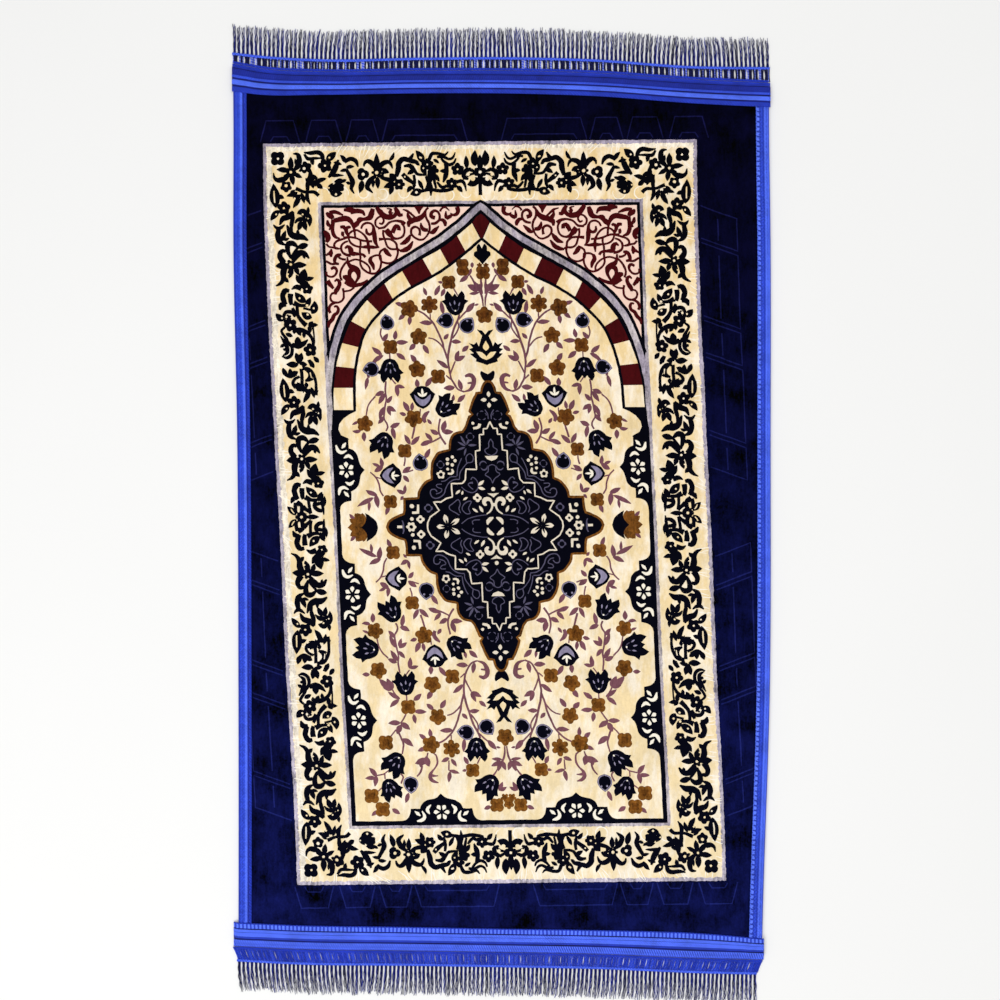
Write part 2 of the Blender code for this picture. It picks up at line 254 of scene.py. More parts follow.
def stroke(line, width):
    """The outline of a brush stroke: width is one number, or several spread evenly from start to end."""
    width = np.atleast_1d(np.asarray(width, dtype=float))
    widths = np.interp(np.linspace(0.0, 1.0, len(line)), np.linspace(0.0, 1.0, len(width)), width)
    side = across_line(line) * widths[:, None] / 2
    return np.concatenate([line + side, (line - side)[::-1]])


def arc_line(at, angle, length, turn, step=DRAWN_STEP):
    """A line that starts at a point in a direction, in degrees, and turns evenly along its length."""
    count = max(4, int(round(length / step)) + 1)
    shares = np.linspace(0.0, 1.0, count)
    headings = np.radians(angle + turn * shares)
    steps = np.stack([np.cos(headings), np.sin(headings)], axis=1) * length / (count - 1)
    mid_steps = (steps[:-1] + steps[1:]) / 2
    return np.asarray(at, dtype=float) + np.vstack([[0.0, 0.0], np.cumsum(mid_steps, axis=0)])


def leaf(at, angle, length, width, turn=0.0, fullest=0.45, step=DRAWN_STEP):
    """A pointed leaf that grows from a point in a direction and bends evenly."""
    line = arc_line(at, angle, length, turn, step)
    shares = np.linspace(0.0, 1.0, len(line))
    power = math.log(0.5) / math.log(fullest)
    widths = width * np.sin(np.pi * shares**power) ** LEAF_ROUNDNESS
    side = across_line(line) * widths[:, None] / 2
    return np.concatenate([line + side, (line - side)[-2:0:-1]])


def bloom(at, radius, petals, notch, turn=90.0, step=DRAWN_STEP):
    """The outline of an open flower: notch is how far it draws in between its petals, as a share."""
    count = max(petals * 4, int(round(2 * math.pi * radius / step)))
    around = np.arange(count) * 2 * math.pi / count
    wave = np.abs(np.cos(around * petals / 2)) ** PETAL_ROUNDNESS
    far = radius * (1 - notch * (1 - wave))
    heading = around + math.radians(turn)
    return np.asarray(at, dtype=float) + np.stack([far * np.cos(heading), far * np.sin(heading)], axis=1)


def disc(at, radius, step=DRAWN_STEP):
    count = max(6, int(round(2 * math.pi * radius / step)))
    heading = np.arange(count) * 2 * math.pi / count
    return np.asarray(at, dtype=float) + radius * np.stack([np.cos(heading), np.sin(heading)], axis=1)


def placed(shape, at, angle, size=1.0):
    """A shape drawn upright round its own origin, turned so that its up points along angle, and moved."""
    turn = math.radians(angle - 90.0)
    x, y = shape[:, 0] * size, shape[:, 1] * size
    cos, sin = math.cos(turn), math.sin(turn)
    return np.stack([x * cos - y * sin, x * sin + y * cos], axis=1) + np.asarray(at, dtype=float)


class Chart:
    """The figures, each a dye and an outline, in the order in which they lie over one another: most are
    print, a few are painted sheen and highlights.
    """

    def __init__(self):
        self.figures = []

    def lay(self, dye, outline, ways=ONCE):
        for across, up in ways:
            self.figures.append((dye, outline * (across, up)))


def on_rug(outline):
    """From the chart to the rug: the printed midline leans and bends a little, as the cloth was sewn."""
    u, v = outline[:, 0], outline[:, 1]
    x = chart_middle(v) + u * SQUARE * (CHART_SPREAD + CHART_SPREAD_RISE * v)
    y = CHART_MIDDLE_Y + SQUARE * (v + CHART_LEAN * u)
    return np.stack([x, y], axis=1)


# ---- the design

PANEL_SIDE = 216.0
PANEL_TOP = 384.5
PANEL_BOTTOM = -357.0
PANEL_FRINGE = 3.6  # squares of mixed pile where the cream panel meets the navy ground
LEFT_GREY_BAND = 5.6  # width of the greyer cream inside the panel's left rim
TOP_GREY_BAND = 3.6
FRAME_OUTER = 158.9
FRAME_TOP = 322.5
FRAME_BOTTOM = -298.4
FRAME_LINE = 3.0
STRIP = 3.0  # grey, outside the frame's black line
BAR = 4.6
LEG_BASE = 117.5

ARCH = points(
    (0, 320.5), (10, 311.5), (20, 302), (30, 294.5), (40, 287.2), (60, 275.3), (80, 263.4), (90, 257.6),
    (101.5, 249.8), (113.1, 240), (124.4, 229.6), (132.7, 219.6), (139.8, 209.6), (144.4, 200), (148.2, 190),
    (151.6, 180), (154.2, 170), (156.9, 157), (159.4, 141), (160.8, 124), (161, 110), (161, 96),
)
ARCH_BAND = 6.0
ARCH_LINE = 3.2  # black, on both sides of the band
JOINTS = (  # between the arch's stones, from its point down: outer u and v, inner u and v
    (9, 303.2, 1.6, 288), (24.2, 290.3, 16.2, 275.7), (41.4, 277.5, 33.5, 262.7), (60, 267.6, 51.6, 251.2),
    (80.6, 255.6, 71.9, 241), (99, 243, 90.1, 229.2), (117.2, 226.4, 105.8, 215),
    (133.4, 205.8, 119.6, 198.6), (143.6, 183.4, 127.8, 179.6), (150.4, 162, 132.7, 160),
    (154.2, 139, 135.2, 138.5), (155.4, LEG_BASE, 136, LEG_BASE),
)
# Where the arch's band runs out over the frame's line and down into the strip outside it
FOOT_OUTSIDE = ((161.9, 172), (167.5, 172), (167.5, 84), (161.9, 84))
FOOT_STRIP = ((158.9, 172), (161.9, 172), (162.4, 110), (161.9, 88), (159.2, 88), (156.5, 120), (156.9, 150))
FOOT_STEP = 2.0
KEYSTONE = ((0, 312.4), (4.4, 309.2), (8.4, 303.8), (6.2, 299), (3, 292.5), (0.8, 288))
BAY = (  # where the frame's line steps in below each leg of the arch
    (134, 115.8), (140, 113.2), (146, 109), (150.5, 103.5), (151.6, 98), (149, 92.5), (143, 89.5),
    (140.4, 87.6), (120, 87.6), (120, 115.8),
)
BAY_LEFT, BAY_BOTTOM = 134.0, 88.0
BASE_LINE = 1.5  # black, below the arch's legs
STONE_STEP = 2.2
FIELD_GAP = 2.9  # from the inner ends of the joints to the field
FIELD_FOOT = ((133, 100), (-133, 100))


def box_outline(left, bottom, right, top, step=3.0):
    return cornered(points((left, bottom), (right, bottom), (right, top), (left, top)), step, closed=True)


def mirrored_line(line):
    """A line from the midline out, joined to its mirror image: left to right."""
    left = line[::-1] * (-1, 1)
    return np.vstack([left[:-1], line]) if abs(line[0][0]) < 1e-6 else np.vstack([left, line])


def roughened(outline, amount, seed):
    """The same outline with each point moved a little at random."""
    return outline + np.random.default_rng(seed).uniform(-amount, amount, outline.shape)


RIM_DRAWN = 1.8  # squares between the points of a roughened rim


def lay_panel(chart):
    """The cream panel: mixed pile along its rim, and greyer bands inside its left and upper edges."""
    side = PANEL_SIDE - PANEL_FRINGE
    bottom, top = PANEL_BOTTOM + PANEL_FRINGE, PANEL_TOP - PANEL_FRINGE
    layers = (  # dye, outline, roughness, seed
        ("mist", box_outline(-PANEL_SIDE, PANEL_BOTTOM, PANEL_SIDE, PANEL_TOP, 2.0), 0.3, 41),
        ("cream", box_outline(-side, bottom, side, top, RIM_DRAWN), 0.75, 42),
        ("chalk", box_outline(-side, bottom, LEFT_GREY_BAND - side, top, RIM_DRAWN), 0.9, 44),
        ("chalk", box_outline(-side, top - TOP_GREY_BAND, side, top, RIM_DRAWN), 0.8, 45),
    )
    for dye, outline, roughness, seed in layers:
        chart.lay(dye, roughened(outline, roughness, seed))


STRIP_ROUGHNESS = 0.5


def lay_inner_frame(chart):
    outer = FRAME_OUTER + STRIP
    strip = box_outline(-outer, FRAME_BOTTOM - STRIP, outer, FRAME_TOP + STRIP, RIM_DRAWN)
    chart.lay("silver", roughened(strip, STRIP_ROUGHNESS, 43))
    chart.lay("ink", box_outline(-FRAME_OUTER, FRAME_BOTTOM, FRAME_OUTER, FRAME_TOP))
    side = FRAME_OUTER - FRAME_LINE
    chart.lay("blush", box_outline(-side, LEG_BASE, side, FRAME_TOP - FRAME_LINE))


def nearest(line, place):
    return int(np.argmin(np.hypot(*(line - place).T)))


def lay_arch(chart):
    """The arch's band between black lines, with red and cream stones below it, over the inner field."""
    side = FRAME_OUTER - BAR
    middle = mirrored_line(curved(ARCH, 2.5))
    chart.lay("ink", stroke(middle, ARCH_BAND + 2 * ARCH_LINE))
    chart.lay("ink", middle)
    chart.lay("silver", stroke(middle, ARCH_BAND))
    chart.lay("cream", box_outline(-side, FRAME_BOTTOM + BAR, side, LEG_BASE - BASE_LINE))
    chart.lay("ink", box_outline(BAY_LEFT, BAY_BOTTOM, FRAME_OUTER, LEG_BASE), BOTH)
    chart.lay("cream", points(*BAY), BOTH)
    outer = curved([joint[:2] for joint in JOINTS], STONE_STEP)
    inner = curved([joint[2:] for joint in JOINTS], STONE_STEP)
    for k, (above, below) in enumerate(zip(JOINTS, JOINTS[1:])):
        outside = outer[nearest(outer, above[:2]) : nearest(outer, below[:2]) + 1]
        within = inner[nearest(inner, above[2:]) : nearest(inner, below[2:]) + 1]
        chart.lay("cream" if k % 2 == 0 else "red", np.vstack([outside, within[::-1]]), BOTH)
    half = cornered(points(*KEYSTONE))
    chart.lay("red", np.vstack([half, half[:0:-1] * (-1, 1)]))
    for dye, foot in (("cream", FOOT_OUTSIDE), ("silver", FOOT_STRIP)):
        chart.lay(dye, cornered(points(*foot), FOOT_STEP, closed=True), BOTH)
    field = mirrored_line(inner + across_line(inner) * -FIELD_GAP)
    chart.lay("cream", np.vstack([field, points(*FIELD_FOOT)]))


CARTOUCHE = (  # half of a scalloped shape on the bar: distance inward and along, from its tip
    ((31.6, 0), (27.6, 4.6), (26, 10), (24.8, 15), (21.2, 19.5), (16.6, 21.6)), ((16.6, 30.8),),
    ((10, 32.4), (6, 35.6), (4.6, 40)),
)
CARTOUCHE_CUTS = (
    ((0.8, 3.0, 3.4, 0.8), (20.5, 10.5), (18, 13), (15.5, 14.3), (11.3, 12)), ((0.8, 3.6, 0.8), (14, 27),
    (11.7, 24.2), (9.4, 21.5)), ((1.0, 3.2, 3.6, 1.2), (14.2, 19.6), (9.6, 17.4), (5.8, 19), (4, 25)),
)


CARTOUCHE_HALF = 40.0
CARTOUCHE_PETALS = 6
CARTOUCHE_FLOWER = (13.0, 0.0)
SIDE_CARTOUCHES = (57.6, -66.9, -193.0)
BOTTOM_CARTOUCHES = (-68.0, 68.0)


def cartouche():
    """The pieces of one cartouche, in distances inward from the bar's outer edge and along it."""
    half = outlined(*CARTOUCHE)
    ends = (0.0, CARTOUCHE_HALF), (0.0, -CARTOUCHE_HALF)
    pieces = [("ink", np.vstack([ends[0], half[::-1], half[1:] * (1, -1), ends[1]]))]
    for widths, *line in CARTOUCHE_CUTS:
        cut = stroke(curved(line), widths)
        pieces += [("white", cut), ("white", cut * (1, -1))]
    for k in range(CARTOUCHE_PETALS):
        pieces.append(("white", petal(CARTOUCHE_FLOWER, 60 * k + 90, 2.2, 8.2, 4.2)))
    return pieces


def toward(heading):
    """A unit step along a heading in degrees."""
    return np.array([math.cos(math.radians(heading)), math.sin(math.radians(heading))])


def petal(middle, heading, start, end, width):
    """One round petal of a flower, from a distance out to another along a heading."""
    root = np.asarray(middle) + toward(heading) * start
    return leaf(root, heading, end - start, width, fullest=0.62, step=1.2)


def lay_cartouches(chart):
    for dye, shape in cartouche():
        inward, along = shape.T
        for middle in SIDE_CARTOUCHES:
            chart.lay(dye, np.stack([FRAME_OUTER - inward, middle + along], axis=1), BOTH)
        for middle in BOTTOM_CARTOUCHES:
            chart.lay(dye, np.stack([middle + along, FRAME_BOTTOM + inward], axis=1))


# The black vine of the cream border. A leaf grows from (u, v) along its heading, in degrees: u, v, heading,
# length, width, and by how much it turns. A stroke is its widths, spread evenly along it, and its points.
# A floret is u, v, radius, petals and turn. Eyes are the small cream gaps, u, v and radius.
VINE_MIDDLE = 11.0  # height of the line about which the vine is the same above and below
VINE_REPEAT = 193.5  # squares between the repeats along the sides
VINE_LOWER = 0.985  # the lower half was printed this much shorter

TOP_LEAVES = (  # from the midline of the top border to its corner
    (4.5, 359.5, 76, 17, 6.6, 26), (13, 357, 82, 14, 4.5, 8), (4, 354, 25, 12, 3, -10),
    (1, 348.5, -52, 14.5, 7.4, 46), (0, 355, 90, 17, 5.4), (0, 346, 90, 10, 5), (61, 364.8, 8, 13, 4.2, -5),
    (23, 341, 238, 9, 4.2, -10), (33, 355, 12, 7.5, 4, -20), (47, 367.5, 212, 8, 3.2),
    (42, 357.5, -12, 11, 5), (51, 357, 252, 13, 5, 10), (46, 353, 240, 10, 4.2, -10),
    (59, 362, 246, 12, 5, -10), (56.8, 363, 80, 15.5, 6.4, -38), (60, 361, 35, 8, 3.2, 20),
    (64, 357, -18, 10, 4.2, -20), (58, 337, -28, 13, 7, 15), (62, 347, 245, 12, 3.6, -8),
    (68, 341, -48, 8.5, 4, -10), (99, 350, 140, 11, 4, -40), (84, 346, 50, 10, 6.5),
    (84, 343, -5, 13, 5.5, -25), (87, 342, -72, 10.5, 4.5), (91, 366, 150, 11, 3.2, -60),
    (103, 357, 90, 17, 5.2), (102.5, 351, -92, 13, 4.6), (106.5, 349, -84, 10, 3.2, -10),
    (117.5, 347.5, -86, 14, 5.2, 18), (131, 358, -6, 9, 3.2, -10), (134, 360, 165, 9, 3.6, 25),
    (133.5, 364, 75, 11, 4.2, -40), (146, 365, 186, 9, 3.6, 20), (151, 351.5, 172, 16, 3.2, 12),
    (133, 348, -25, 8, 3), (129, 343, 35, 6, 3, -20), (153, 366, 128, 14, 6.5, 15),
    (167, 370, -80, 8, 4, -40), (135, 346, 8, 11, 5, -20), (136, 337, 42, 12, 5, -20),
    (146, 336, 108, 11, 5, 10), (150, 335.5, 95, 10, 5.4, 30), (150, 335.5, 200, 13, 6.5, -30),
    (166, 339, 72, 21, 5.5, 20), (165, 345, 150, 13, 4.4, 25), (157, 339, 40, 9, 4.5, -10),
    (170, 352, 200, 9, 4.4, -10), (174, 350, 235, 12, 4, -10), (183, 361, 82, 9, 2.6),
    (188.6, 357.5, 90, 14, 5.4), (190, 357, 14, 13, 5, -14), (187.8, 354, -98, 11.5, 4.8),
    (186.5, 355.5, 215, 11, 4, -10), (181, 356.5, 150, 6, 3),
)
TOP_SPRIGS = (
    (3.2, (0, 351), (0, 341), (0, 331)), ((2, 2.4, 1), (3, 353), (10, 351.5), (17, 346.5)),
    ((2.5, 4.2, 4.2, 2), (9, 357.5), (15.5, 354.5), (16, 349), (11.5, 347)), ((3, 3.4, 2.4, 1), (24, 344),
    (18, 345), (15, 340), (14, 335)), ((3, 3, 2), (33, 341), (38, 339), (43, 344.5)), ((3, 3.2, 3.2, 3),
    (27, 338), (31, 336.5), (40, 335.5), (50, 337), (59, 335.5)), ((4, 4, 4.6, 1.4), (34, 363), (33.5, 357),
    (34, 352), (36.8, 344)), ((1, 3, 3, 3.4, 3), (31.5, 375), (35, 371.5), (42, 373.2), (48, 372.5),
    (51, 366)), ((1, 2.4, 2.6, 3, 2.4), (24.5, 374), (27, 368.8), (31, 367.2), (37, 369.8), (43, 369.5)),
    ((1.4, 2.6, 3, 2.6, 2), (24, 368), (26, 363.6), (31, 361.6), (35.5, 364.5), (39, 368.5)),
    ((4, 3.4, 4, 1), (50.5, 352), (50.5, 345), (49, 338), (49.4, 330.5)), ((2.4, 2.6, 2), (46, 350),
    (45.4, 344), (44, 338)), ((2.4, 2.6, 3), (54, 350.5), (52, 343), (54, 336.5)), ((2.4, 3, 2.4),
    (66, 352), (65.4, 345), (67, 337)), ((3, 5, 5, 4.4, 4, 1.4), (83.5, 350), (81.4, 358), (80.6, 364),
    (76, 368), (70.5, 367), (66.2, 373.5)), ((2, 4.4, 3, 2.6, 2), (76, 360.5), (70, 361), (66, 357),
    (62, 352.5), (53, 351.8)), ((3.6, 4.4, 3.4, 1.6), (77.5, 353), (73, 348.4), (68, 344.5), (64.5, 340.5)),
    ((3, 4.8, 4.4, 3, 1), (102, 358), (97, 363.6), (91, 365), (88.2, 361.5), (87.4, 358.4)),
    ((3, 4.8, 4.4, 3, 1.4), (104, 358), (107.6, 363.8), (112, 366.3), (115, 364), (115.6, 360.6)),
    ((2.5, 4.8, 4.4, 1), (104, 351), (109.5, 347), (112.5, 340), (107, 334.4)), ((3, 3.4, 4, 3), (101, 352),
    (97, 349), (92, 347.4), (86, 346)), ((3.4, 3.2, 2), (100, 358), (94, 357), (91.5, 354)),
    ((1.4, 4, 4, 3.4), (121.4, 360.4), (124, 366.4), (129, 368.6), (135, 365.5)), ((3, 3.4, 4.6, 3.6, 1),
    (134, 359), (130, 352), (127, 345), (128.4, 339), (125.6, 333.6)), ((2, 5.4, 5, 1.6), (151, 350),
    (146, 356), (143, 362), (141, 368)), ((2.6, 4, 4, 3.6, 1), (156, 366), (157.6, 373), (162, 375.4),
    (169, 374.6), (175.5, 375.6)), ((1.6, 2.6, 3.4, 2), (158, 369.6), (165, 369.4), (171.5, 369.2),
    (175, 374)), ((2, 5, 5.4, 4, 1), (186.5, 357), (181.8, 362), (180, 368), (181.6, 373.6),
    (186.4, 374.4)), ((4, 5.2, 5, 3, 1), (190, 354), (196, 349), (201.6, 348), (205, 350.4), (206, 355.4)),
    ((3.4, 3, 2.6, 3.6), (161, 332), (165.5, 335.6), (175, 336), (184, 339.4)), ((4, 4, 3, 4, 1),
    (170, 350), (171.8, 344), (172.2, 337), (172.6, 330), (169.4, 323.4)),
)
TOP_FLORETS = (
    (0, 354, 6.5, 6, 90), (22.5, 357, 6.6, 5, 90), (28.5, 342.5, 6.4, 6, 90), (47, 356, 6.2, 5, 40),
    (52.5, 362, 6.4, 5, 90), (81, 342.5, 6.2, 6, 0), (103, 354.5, 5.4, 6, 0), (154.5, 362, 7.4, 5, 72),
    (188.5, 356, 5.6, 8, 0), (193.4, 341.4, 6, 5, 270), (173.6, 360.4, 6.4, 5, 150), (117, 353, 6.6, 3, 60),
    (201.6, 369.6, 8, 4, 45), (140, 340, 5, 5, 0), (163, 345, 4.6, 5, 90),
)
TOP_EYES = (
    (0, 354, 1.7), (58.6, 369, 1.2), (7.2, 347.4, 2.6), (11.8, 351.6, 1.8), (22.4, 357, 1.1),
    (28.5, 342.5, 1.1), (21.5, 341.6, 1.6), (52.6, 362, 1), (59.6, 369.4, 1.2), (56.6, 358.4, 1),
    (63.6, 334.4, 1.6), (75, 350, 1), (81, 342.5, 1.3), (94.4, 351.6, 1.9), (103, 354.5, 2),
    (116.4, 353, 1.9), (154.6, 362, 1.2), (175.2, 359.4, 1.8), (188.6, 356, 1.6), (193.4, 342.4, 1.9),
    (201.2, 369.4, 1.4), (197, 352.4, 1.5), (150, 370, 1.2), (143.8, 333.2, 1.4), (151, 339.8, 1.1),
)
SIDE_LEAVES = (  # one repeat of the side border, from the corner down
    (203.4, 320.5, 86, 25, 9, -2), (204, 333, 40, 7, 3), (204, 325, 35, 6, 3), (202, 333, 195, 8, 4, 10),
    (200, 318.6, -40, 14, 5.6, -20), (181, 336, -18, 12.5, 4.4), (184, 339, -50, 8, 3.4, 20),
    (179, 332, -62, 14, 4.6, 8), (178, 336, 250, 12, 4, 10), (172, 314, 98, 8, 3.4),
    (172, 315.6, 20, 11, 6, -50), (172.4, 317, 250, 16, 5.2, 25), (176, 308, 262, 11, 4.6, -10),
    (178, 308, 288, 11.5, 4.8, 8), (199, 287, 118, 12.5, 4.6, -12), (197, 288, 160, 7, 3),
    (182, 292, 85, 7, 3.4), (172, 283.6, -10, 13, 5.4, -10), (177.6, 274, 255, 5, 3),
    (188.6, 263.8, 184, 14, 5.4, -6), (193, 263.4, -2, 13.5, 6.6, -4), (187, 262, 240, 9.5, 4.4, 15),
    (190, 262, 278, 12.5, 5.2, 12), (199, 251, 212, 7.5, 4, 20), (179.6, 245, 92, 15, 8, 18),
    (178, 248.6, 172, 10.5, 4, -6), (179.4, 244, 52, 12, 5.6, 8), (176.6, 226, 28, 15.5, 7, 30),
    (172, 214.4, 128, 14, 7, -45), (176.4, 221, 105, 11, 4.8, 15), (171.4, 210.8, 8, 12, 6.6, 40),
    (200, 207.4, 38, 11, 6, 15), (176, 203, 178, 10.5, 4.4), (175.4, 202, 132, 7, 4),
    (175, 203, 262, 8, 4.2), (187, 198.6, 240, 7, 3.8), (180.4, 197, 272, 7, 3.4), (190, 200, 270, 6, 3.6),
    (199, 195.4, 205, 8.5, 4), (187, 182.6, 92, 9.5, 6), (199.4, 184.4, -20, 6.4, 3.2, -20),
    (198.6, 178.4, 20, 4, 3), (186.4, 166, 106, 10.5, 5.2), (187, 166, 76, 10.5, 5.2),
    (187, 164.6, 186, 8.5, 4.8), (187.6, 163.4, 4, 12.5, 5.6), (196, 152.4, 88, 8, 4.4),
    (199.6, 152.6, 50, 9.5, 4.6, 30), (195, 154, 155, 7.5, 4.4), (172, 160, 58, 10, 4, 20),
    (167, 165.6, 48, 8.5, 4, 10), (178, 149, 178, 5, 3), (180, 141, 75, 6, 3.4), (176, 134, 150, 8, 4),
)
SIDE_SPRIGS = (
    ((3, 5.6, 4.8, 1.4), (186, 317), (191, 312), (197, 309.6), (200, 303.6)), ((1.6, 4.2, 3.6, 1),
    (186.2, 317), (187, 309), (188.6, 302.4), (187.4, 296.4)), ((3, 4.2, 3.6, 1), (172.6, 306.6),
    (177, 309.4), (181.6, 308.6), (185, 305)), ((1, 3.2, 3.4, 1), (195, 304), (199, 301), (203, 300.6),
    (206.4, 304)), ((3.6, 5, 4.8, 1.4), (201, 301), (202.4, 293), (200.4, 286.6), (195, 283.4)),
    ((1.4, 5.6, 6, 4.8, 1.4), (172, 287.6), (178, 291.4), (184, 291.8), (189, 294.6), (193, 303.6)),
    ((2, 5, 5, 4, 2), (183, 281), (187.6, 285), (192.6, 284), (193, 277.6), (190.4, 270)), ((2.4, 3, 3),
    (183, 280.6), (186.6, 275.6), (190.6, 269.6)), ((1.4, 5, 5.6, 4), (172, 269.6), (176, 274.6),
    (182, 275), (188.6, 267.6)), ((2.8, 4.2, 4.8, 5.6), (195, 277), (199, 277.6), (201.2, 272.4),
    (197.6, 265.4)), ((5, 5.8, 4.8, 3.4, 1), (196, 263), (198.4, 256), (198.6, 250), (201.4, 245.4),
    (206.6, 242.6)), ((4.8, 4.4, 1), (181, 240), (186.6, 241.6), (191, 239.2)), ((3, 5, 4.6, 4.8, 3),
    (193, 237.6), (197, 238), (200, 233), (198.8, 227.4), (196.6, 224)), ((4.6, 4.8, 3), (192, 235),
    (192.6, 229), (191.4, 223.6)), ((2.6, 5.4, 1.4), (196.6, 223.4), (201.6, 223.4), (203.6, 218.4)),
    ((2.6, 3.2, 5), (177, 223), (183, 223), (189.4, 225.6)), ((2, 2.2), (172.6, 218.6), (180, 220.4)),
    ((3, 3, 3.6, 4.4), (186, 223), (185.6, 214), (183, 208.6), (177.6, 202.8)), ((3, 3.6, 3.6, 3, 3),
    (188, 211.6), (191, 216), (197, 216.6), (199.6, 212), (198, 206)), (2.8, (191, 220.6), (187.6, 214.6)),
    ((1.8, 1.4, 2), (171, 201), (170.4, 190), (171.4, 180)), ((4.4, 4.8, 3.8, 3, 2.6, 3), (190, 198),
    (184, 198.4), (179, 197), (174.4, 193), (171.8, 187), (172, 180)), ((2, 2.6, 2.6, 3, 3, 4),
    (199, 201.6), (202.6, 198), (201, 194), (198.2, 190), (196, 185), (191, 181)), ((1, 4.4, 6, 3.4),
    (176.6, 189), (181, 185), (187, 182.8), (193, 184)), ((1, 3.2, 3.2, 3, 2), (204, 172), (198.6, 170.6),
    (194, 174), (193, 180), (195.6, 186.6)), ((1, 3.6, 3.8, 3.2, 1), (203, 172.6), (198.4, 175.6),
    (197.8, 181), (200.4, 187), (203.8, 193)), ((3, 3.6, 3, 2.6, 2.6, 3.4), (184, 160), (178, 159.4),
    (173.4, 154), (171.4, 147), (171.4, 140), (172, 133)), ((2, 2.6, 5, 1.6), (181, 159), (177.6, 155.4),
    (177, 150), (182, 147.4)), ((3.2, 2.6), (177, 168.6), (174.6, 162)), ((3, 4.8, 3), (190, 154.6),
    (197, 152.6), (203, 155.6)), ((3.2, 3, 3.4), (185, 160), (185, 149), (185.6, 139)),
    ((2.6, 2.6, 3.2, 3.4), (187, 152), (192, 149.4), (194.4, 145), (191.6, 140.6)),
)
SIDE_FLORETS = (
    (195.5, 320.5, 7, 5, 20), (190.4, 263.8, 5.6, 6, 0), (175, 239.6, 5.8, 5, 240),
    (178.6, 244.4, 5, 5, 90), (193.4, 203.8, 7, 5, 70), (175, 178.4, 7, 5, 10), (187, 167, 3.6, 5, 90),
    (189, 142.6, 4.4, 5, 90), (195, 211, 3.4, 5, 0), (175, 313, 3.4, 5, 0), (182, 331, 4.4, 5, 0),
)
SIDE_EYES = (
    (195.6, 320.5, 1.3), (203.2, 314.4, 1.1), (184.6, 330, 1.3), (177, 314, 1.2), (171.6, 309.6, 0.9),
    (189, 279.4, 1.7), (190.6, 264, 1.6), (193.6, 254.6, 1), (175.6, 239.4, 1), (183.4, 230.4, 1.2),
    (169.6, 220, 1.3), (176, 214, 1.4), (176, 223, 1.6), (201.6, 210.4, 1.2), (197, 211.6, 1.5),
    (193.4, 203.6, 1.3), (175, 178.4, 1.4), (185.6, 162, 1.7), (188.6, 147.6, 2.2),
)
SIDE_SLITS = (
    ((1.2, 1.4, 1), (204.4, 326), (204.8, 332), (205, 338)), (1.2, (196, 234), (195.2, 227)), (1,
    (176.6, 156), (175.6, 150.6)),
)
MIDDLE_LEAVES = (  # the upper half of the blossom halfway down the sides
    (198.6, 12.8, 52, 12.5, 5.4, -12), (189, 11, 180, 13.5, 4.4), (170.8, 20.6, 112, 12, 3, -30),
)
MIDDLE_SPRIGS = (
    ((4.6, 5.2, 5.2, 4), (189.6, 13), (192, 18), (194, 23), (197.6, 26.2)), ((3.4, 3.2, 2.4), (198.4, 25.6),
    (199, 20), (198.4, 14.4)), ((3, 3, 2.4), (183.8, 14.2), (187.6, 18), (191, 22.4)), ((2.8, 2.8, 2.6),
    (185.4, 29), (185, 21), (183.8, 14.4)), ((1, 2.6, 3, 3.2, 2.4), (170.8, 13), (171.2, 17), (171.6, 22),
    (172, 28), (171.6, 34)), ((3, 3.6, 3.8, 3), (178.6, 27), (179.8, 21.6), (176.6, 18), (172, 17)),
    ((3, 3.4), (172.6, 24.4), (178, 23.6)), ((3, 4.6, 1.4), (197, 30), (200.6, 29.4), (203, 25)),
)
MIDDLE_FLORETS = ((193.2, 11, 6.6, 6, 0),)
MIDDLE_EYES = ((193.4, 11, 1.7),)
MIDDLE_SLITS = (
    ((1.2, 1.6, 1.2), (195.4, 21.6), (195.6, 18.4), (196.2, 15.8)), ((1.0, 1.4, 1.0), (185.8, 13.4),
    (188.4, 15.4), (190.6, 16.8)), ((0.9, 1.2, 0.9), (200.4, 14.8), (202.2, 17), (203.4, 19.4)),
)
MIDDLE_REACH = 28.0  # the blossom takes the place of the repeat up to this height
VINE_STEP = 1.5
EYE_STEP = 1.2
FLORET_NOTCH = 0.34
VINE_WEIGHT = 1.17
EYE_SHARE = 0.85
SIDE_SHIFT = (0.6, -0.5)  # by which the print of the sides lies off the chart
REPEAT_SHIFT = (-1.4, -1.0)  # and by which its second repeat lies further off


def vine_figures(leaves, strokes, florets, eyes, slits=()):
    """The figures of a stretch of the vine."""
    ink = [
        leaf((u, v), heading, length, width * VINE_WEIGHT, *turn, step=VINE_STEP)
        for u, v, heading, length, width, *turn in leaves
    ]
    ink += [stroke(curved(line, VINE_STEP), np.multiply(widths, VINE_WEIGHT)) for widths, *line in strokes]
    for u, v, radius, petals, turn in florets:
        ink.append(bloom((u, v), radius, petals, FLORET_NOTCH, turn, VINE_STEP))
    cream = [disc((u, v), radius * EYE_SHARE, EYE_STEP) for u, v, radius in eyes]
    cream += [stroke(curved(line, VINE_STEP), widths) for widths, *line in slits]
    return [("ink", outline) for outline in ink] + [("cream", outline) for outline in cream]


